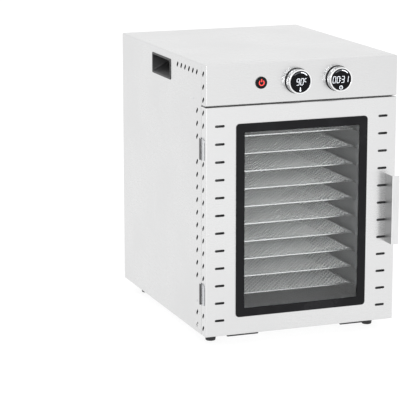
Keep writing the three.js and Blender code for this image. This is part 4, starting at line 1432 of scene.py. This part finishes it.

# ---------------------------------------------------------------- door handle and bumper strips
# The handle is a strip of stainless folded once: a plate that stands out from the door with an upright
# grain, painted darker on its side as painted shade, and a bright flange at its front for the fingers.
# Two rubber strips are stuck under the door's edge.
handle_steel = brushed_steel(
    "handle_steel", (0.76, 0.762, 0.765), (0.58, 0.582, 0.585), (0.4, 0.52), lines=1100.0, depth=0.00003
)


def door_handle():
    low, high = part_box("door_handle")
    thick = 1.5 * MM
    corners = [
        (low.x, low.y),
        (high.x, low.y),
        (high.x, low.y + thick),
        (low.x + thick, low.y + thick),
        (low.x + thick, high.y),
        (low.x, high.y),
    ]
    section = filleted(corners, np.array([1.9, 0.3, 0.3, 0.6, 0.1, 0.1]) * MM, 7)
    rings = np.array([np.insert(section, 2, level, axis=1) for level in (low.z, high.z)])
    handle = new_piece(
        "handle_strip", [stacked(rings, "capped")], handle_steel, "door", ["door_handle"]
    )
    lay_grain(handle, (2, 0, 1))
    normals = np.zeros(len(handle.data.polygons) * 3, np.float32)
    handle.data.polygons.foreach_get("normal", normals)
    # Painted shade: the plate's faces, turned along X, are marked half way toward near black through the
    # "cut" attribute, for the shade on that side.
    on_plate, plate_painted_shade = np.abs(normals.reshape(-1, 3)[:, 0]) > 0.9, 0.5
    mark = handle.data.attributes.new("cut", "FLOAT", "FACE")
    mark.data.foreach_set("value", (plate_painted_shade * on_plate).astype(np.float32))
    eased_edges(handle, 0.25 * MM)


def bumper_strip(side):
    low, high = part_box(f"{side}_door_strip")
    round_end = (high.y - low.y) / 2 - 0.01 * MM
    levels = [(0.7 * MM, low.z), (0.25 * MM, low.z + 0.2 * MM), (0.0, low.z + 0.7 * MM), (0.0, high.z)]
    strip = stepped_block(low, high, levels, 2, round_end, 10)
    new_piece(f"{side}_bumper", [strip], rubber, "door", [f"{side}_door_strip"])


door_handle()
bumper_strip("left")
bumper_strip("right")

# ---------------------------------------------------------------- magnetic catch
# A magnet in a moulded case with two steel pole strips stands behind the cabinet's front frame, and a
# plated strike with two screws is fixed to the door opposite.


def magnetic_catch():
    low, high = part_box("door_magnet")
    ease = 0.5 * MM
    levels = [(ease, low.y + 0.3 * MM), (0.0, low.y + 0.8 * MM), (0.0, high.y - 0.5 * MM), (ease, high.y)]
    case = stepped_block(low, high, levels, 1, 2 * MM)
    new_piece("magnet_case", [case], motor_enamel, "cabinet", ["door_magnet"])
    middle_x, middle_z = (low.x + high.x) / 2, (low.z + high.z) / 2
    half_x, half_z = 0.8 * MM, 14 * MM
    poles = []
    for side in (-1, 1):
        x = middle_x + side * 3 * MM
        corner, opposite = (x - half_x, middle_z - half_z), (x + half_x, middle_z + half_z)
        poles.append(rounded_outline(corner, opposite, 0.3 * MM))
    new_piece(
        "magnet_poles",
        [prisms(np.array(poles), low.y, low.y + 2 * MM, 1)],
        plated_steel,
        "cabinet",
    )
    low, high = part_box("strike_plate")
    levels = [(0.0, low.y), (0.0, high.y - 1.4 * MM), (0.15 * MM, high.y - 1.1 * MM), (ease, high.y - 1 * MM)]
    strike = stepped_block(low, high, levels, 1, 3 * MM)
    new_piece("strike_sheet", [strike], plated_steel, "door", ["strike_plate"])
    spots = [(middle_x, high.y - 1.1 * MM, middle_z + side * 12 * MM) for side in (-1, 1)]
    head = facing(cross_head(2.4 * MM, 1 * MM), 1, 1.0)
    new_piece("strike_screws", [copies(head, spots)], plated_steel, "door")


magnetic_catch()

# ---------------------------------------------------------------- hinges
# Two butt hinges on the left side. The outer leaf lies on the door's fold with rounded front corners and
# carries the end knuckles, the middle knuckle belongs to the cabinet, and a headed pin runs through. The
# rolled knuckles are painted dark, as painted shade for the gap along the hinge line.
# Painted shade: a dark steel for the knuckles, standing for the shadowed gap along the hinge line.
knuckle_painted_shade = fine_grain("knuckle_painted_shade", (0.16, 0.16, 0.162), (0.10, 0.10, 0.102), (0.35, 0.5))


def knuckles(centre, spans, radius, bore):
    """Rings turned about the pin, one for each span of height, with softened ends."""
    made = []
    for low_z, high_z in spans:
        corners = [(bore, low_z), (radius, low_z), (radius, high_z), (bore, high_z)]
        made.append(turned(filleted(corners, 0.3 * MM, 4), centre, 2, steps=32, closed=True))
    return made


def hinge(name):
    low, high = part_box(f"{name}_hinge_door_leaf")
    pin_low, pin_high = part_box(f"{name}_hinge_pin")
    centre = (pin_low + pin_high) / 2
    radius, bore, knuckle = 2.7 * MM, 1.4 * MM, 6 * MM
    middle_z = (low.z + high.z) / 2
    gap_low, gap_high = middle_z - knuckle - 0.2 * MM, middle_z + knuckle + 0.2 * MM
    body_span = (middle_z - knuckle + 0.1 * MM, middle_z + knuckle - 0.1 * MM)
    rear = centre.y - radius - 0.4 * MM
    tab = centre.y - 2 * MM
    corners = [
        (low.y, low.z),
        (tab, low.z),
        (tab, gap_low),
        (rear, gap_low),
        (rear, gap_high),
        (tab, gap_high),
        (tab, high.z),
        (low.y, high.z),
    ]
    outline = filleted(corners, np.array([5, 0.1, 0.1, 0.3, 0.3, 0.1, 0.1, 5]) * MM, 8)
    leaf_low, leaf_high = door_low.x - 1.3 * MM, door_low.x - 0.3 * MM
    leaf = new_piece(
        f"{name}_door_leaf",
        [prisms(outline[None], leaf_low, leaf_high, 0)],
        plated_steel,
        "door",
        [f"{name}_hinge_door_leaf"],
    )
    eased_edges(leaf, 0.15 * MM)
    body_low, body_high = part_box(f"{name}_hinge_body_leaf")
    inner = wrap_low.x + sheet + 0.4 * MM
    web = rounded_outline(
        (centre.x + 1 * MM, centre.y + 0.8 * MM), (inner + 1 * MM, centre.y + 2.6 * MM), 0.3 * MM, 0.0, 3
    )
    plate_radii = [0, 0, 3 * MM, 3 * MM]
    plate = rounded_outline((body_low.z, centre.y + 1.8 * MM), (body_high.z, body_high.y), plate_radii)
    plate = plate[:, ::-1]
    new_piece(
        f"{name}_body_leaf",
        [
            prisms(web[None], *body_span, 2),
            prisms(plate[None], inner, inner + 1 * MM, 0),
        ],
        plated_steel,
        "cabinet",
        [f"{name}_hinge_body_leaf"],
    )
    door_knuckles = knuckles(centre, [(low.z, gap_low), (gap_high, high.z)], radius, bore)
    body_knuckle = knuckles(centre, [body_span], radius, bore)
    # The knuckles carry the painted shade of the hinge line.
    new_piece(f"{name}_door_knuckles", door_knuckles, knuckle_painted_shade, "door")
    new_piece(f"{name}_body_knuckle", body_knuckle, knuckle_painted_shade, "cabinet")
    head_foot = pin_high.z - 0.8 * MM
    corners = [
        (0, pin_low.z),
        (1.1 * MM, pin_low.z),
        (1.1 * MM, head_foot),
        (2.2 * MM, head_foot),
        (2.2 * MM, pin_high.z),
        (0, pin_high.z),
    ]
    cuts = np.array([0, 0.4, 0.1, 0.1, 0.6, 0]) * MM
    new_piece(
        f"{name}_pin",
        [turned(filleted(corners, cuts, 5, closed=False), centre, 2, steps=32)],
        plated_steel,
        "cabinet",
        [f"{name}_hinge_pin"],
    )
    head = facing(cross_head(1.9 * MM, 0.5 * MM), 0, -1.0)
    spots = [(leaf_low + 0.25 * MM, low.y + 6 * MM, middle_z + side * 11 * MM) for side in (-1, 1)]
    new_piece(f"{name}_leaf_screws", [copies(head, spots)], plated_steel, "door")


for hinge_name in hinge_names:
    hinge(hinge_name)
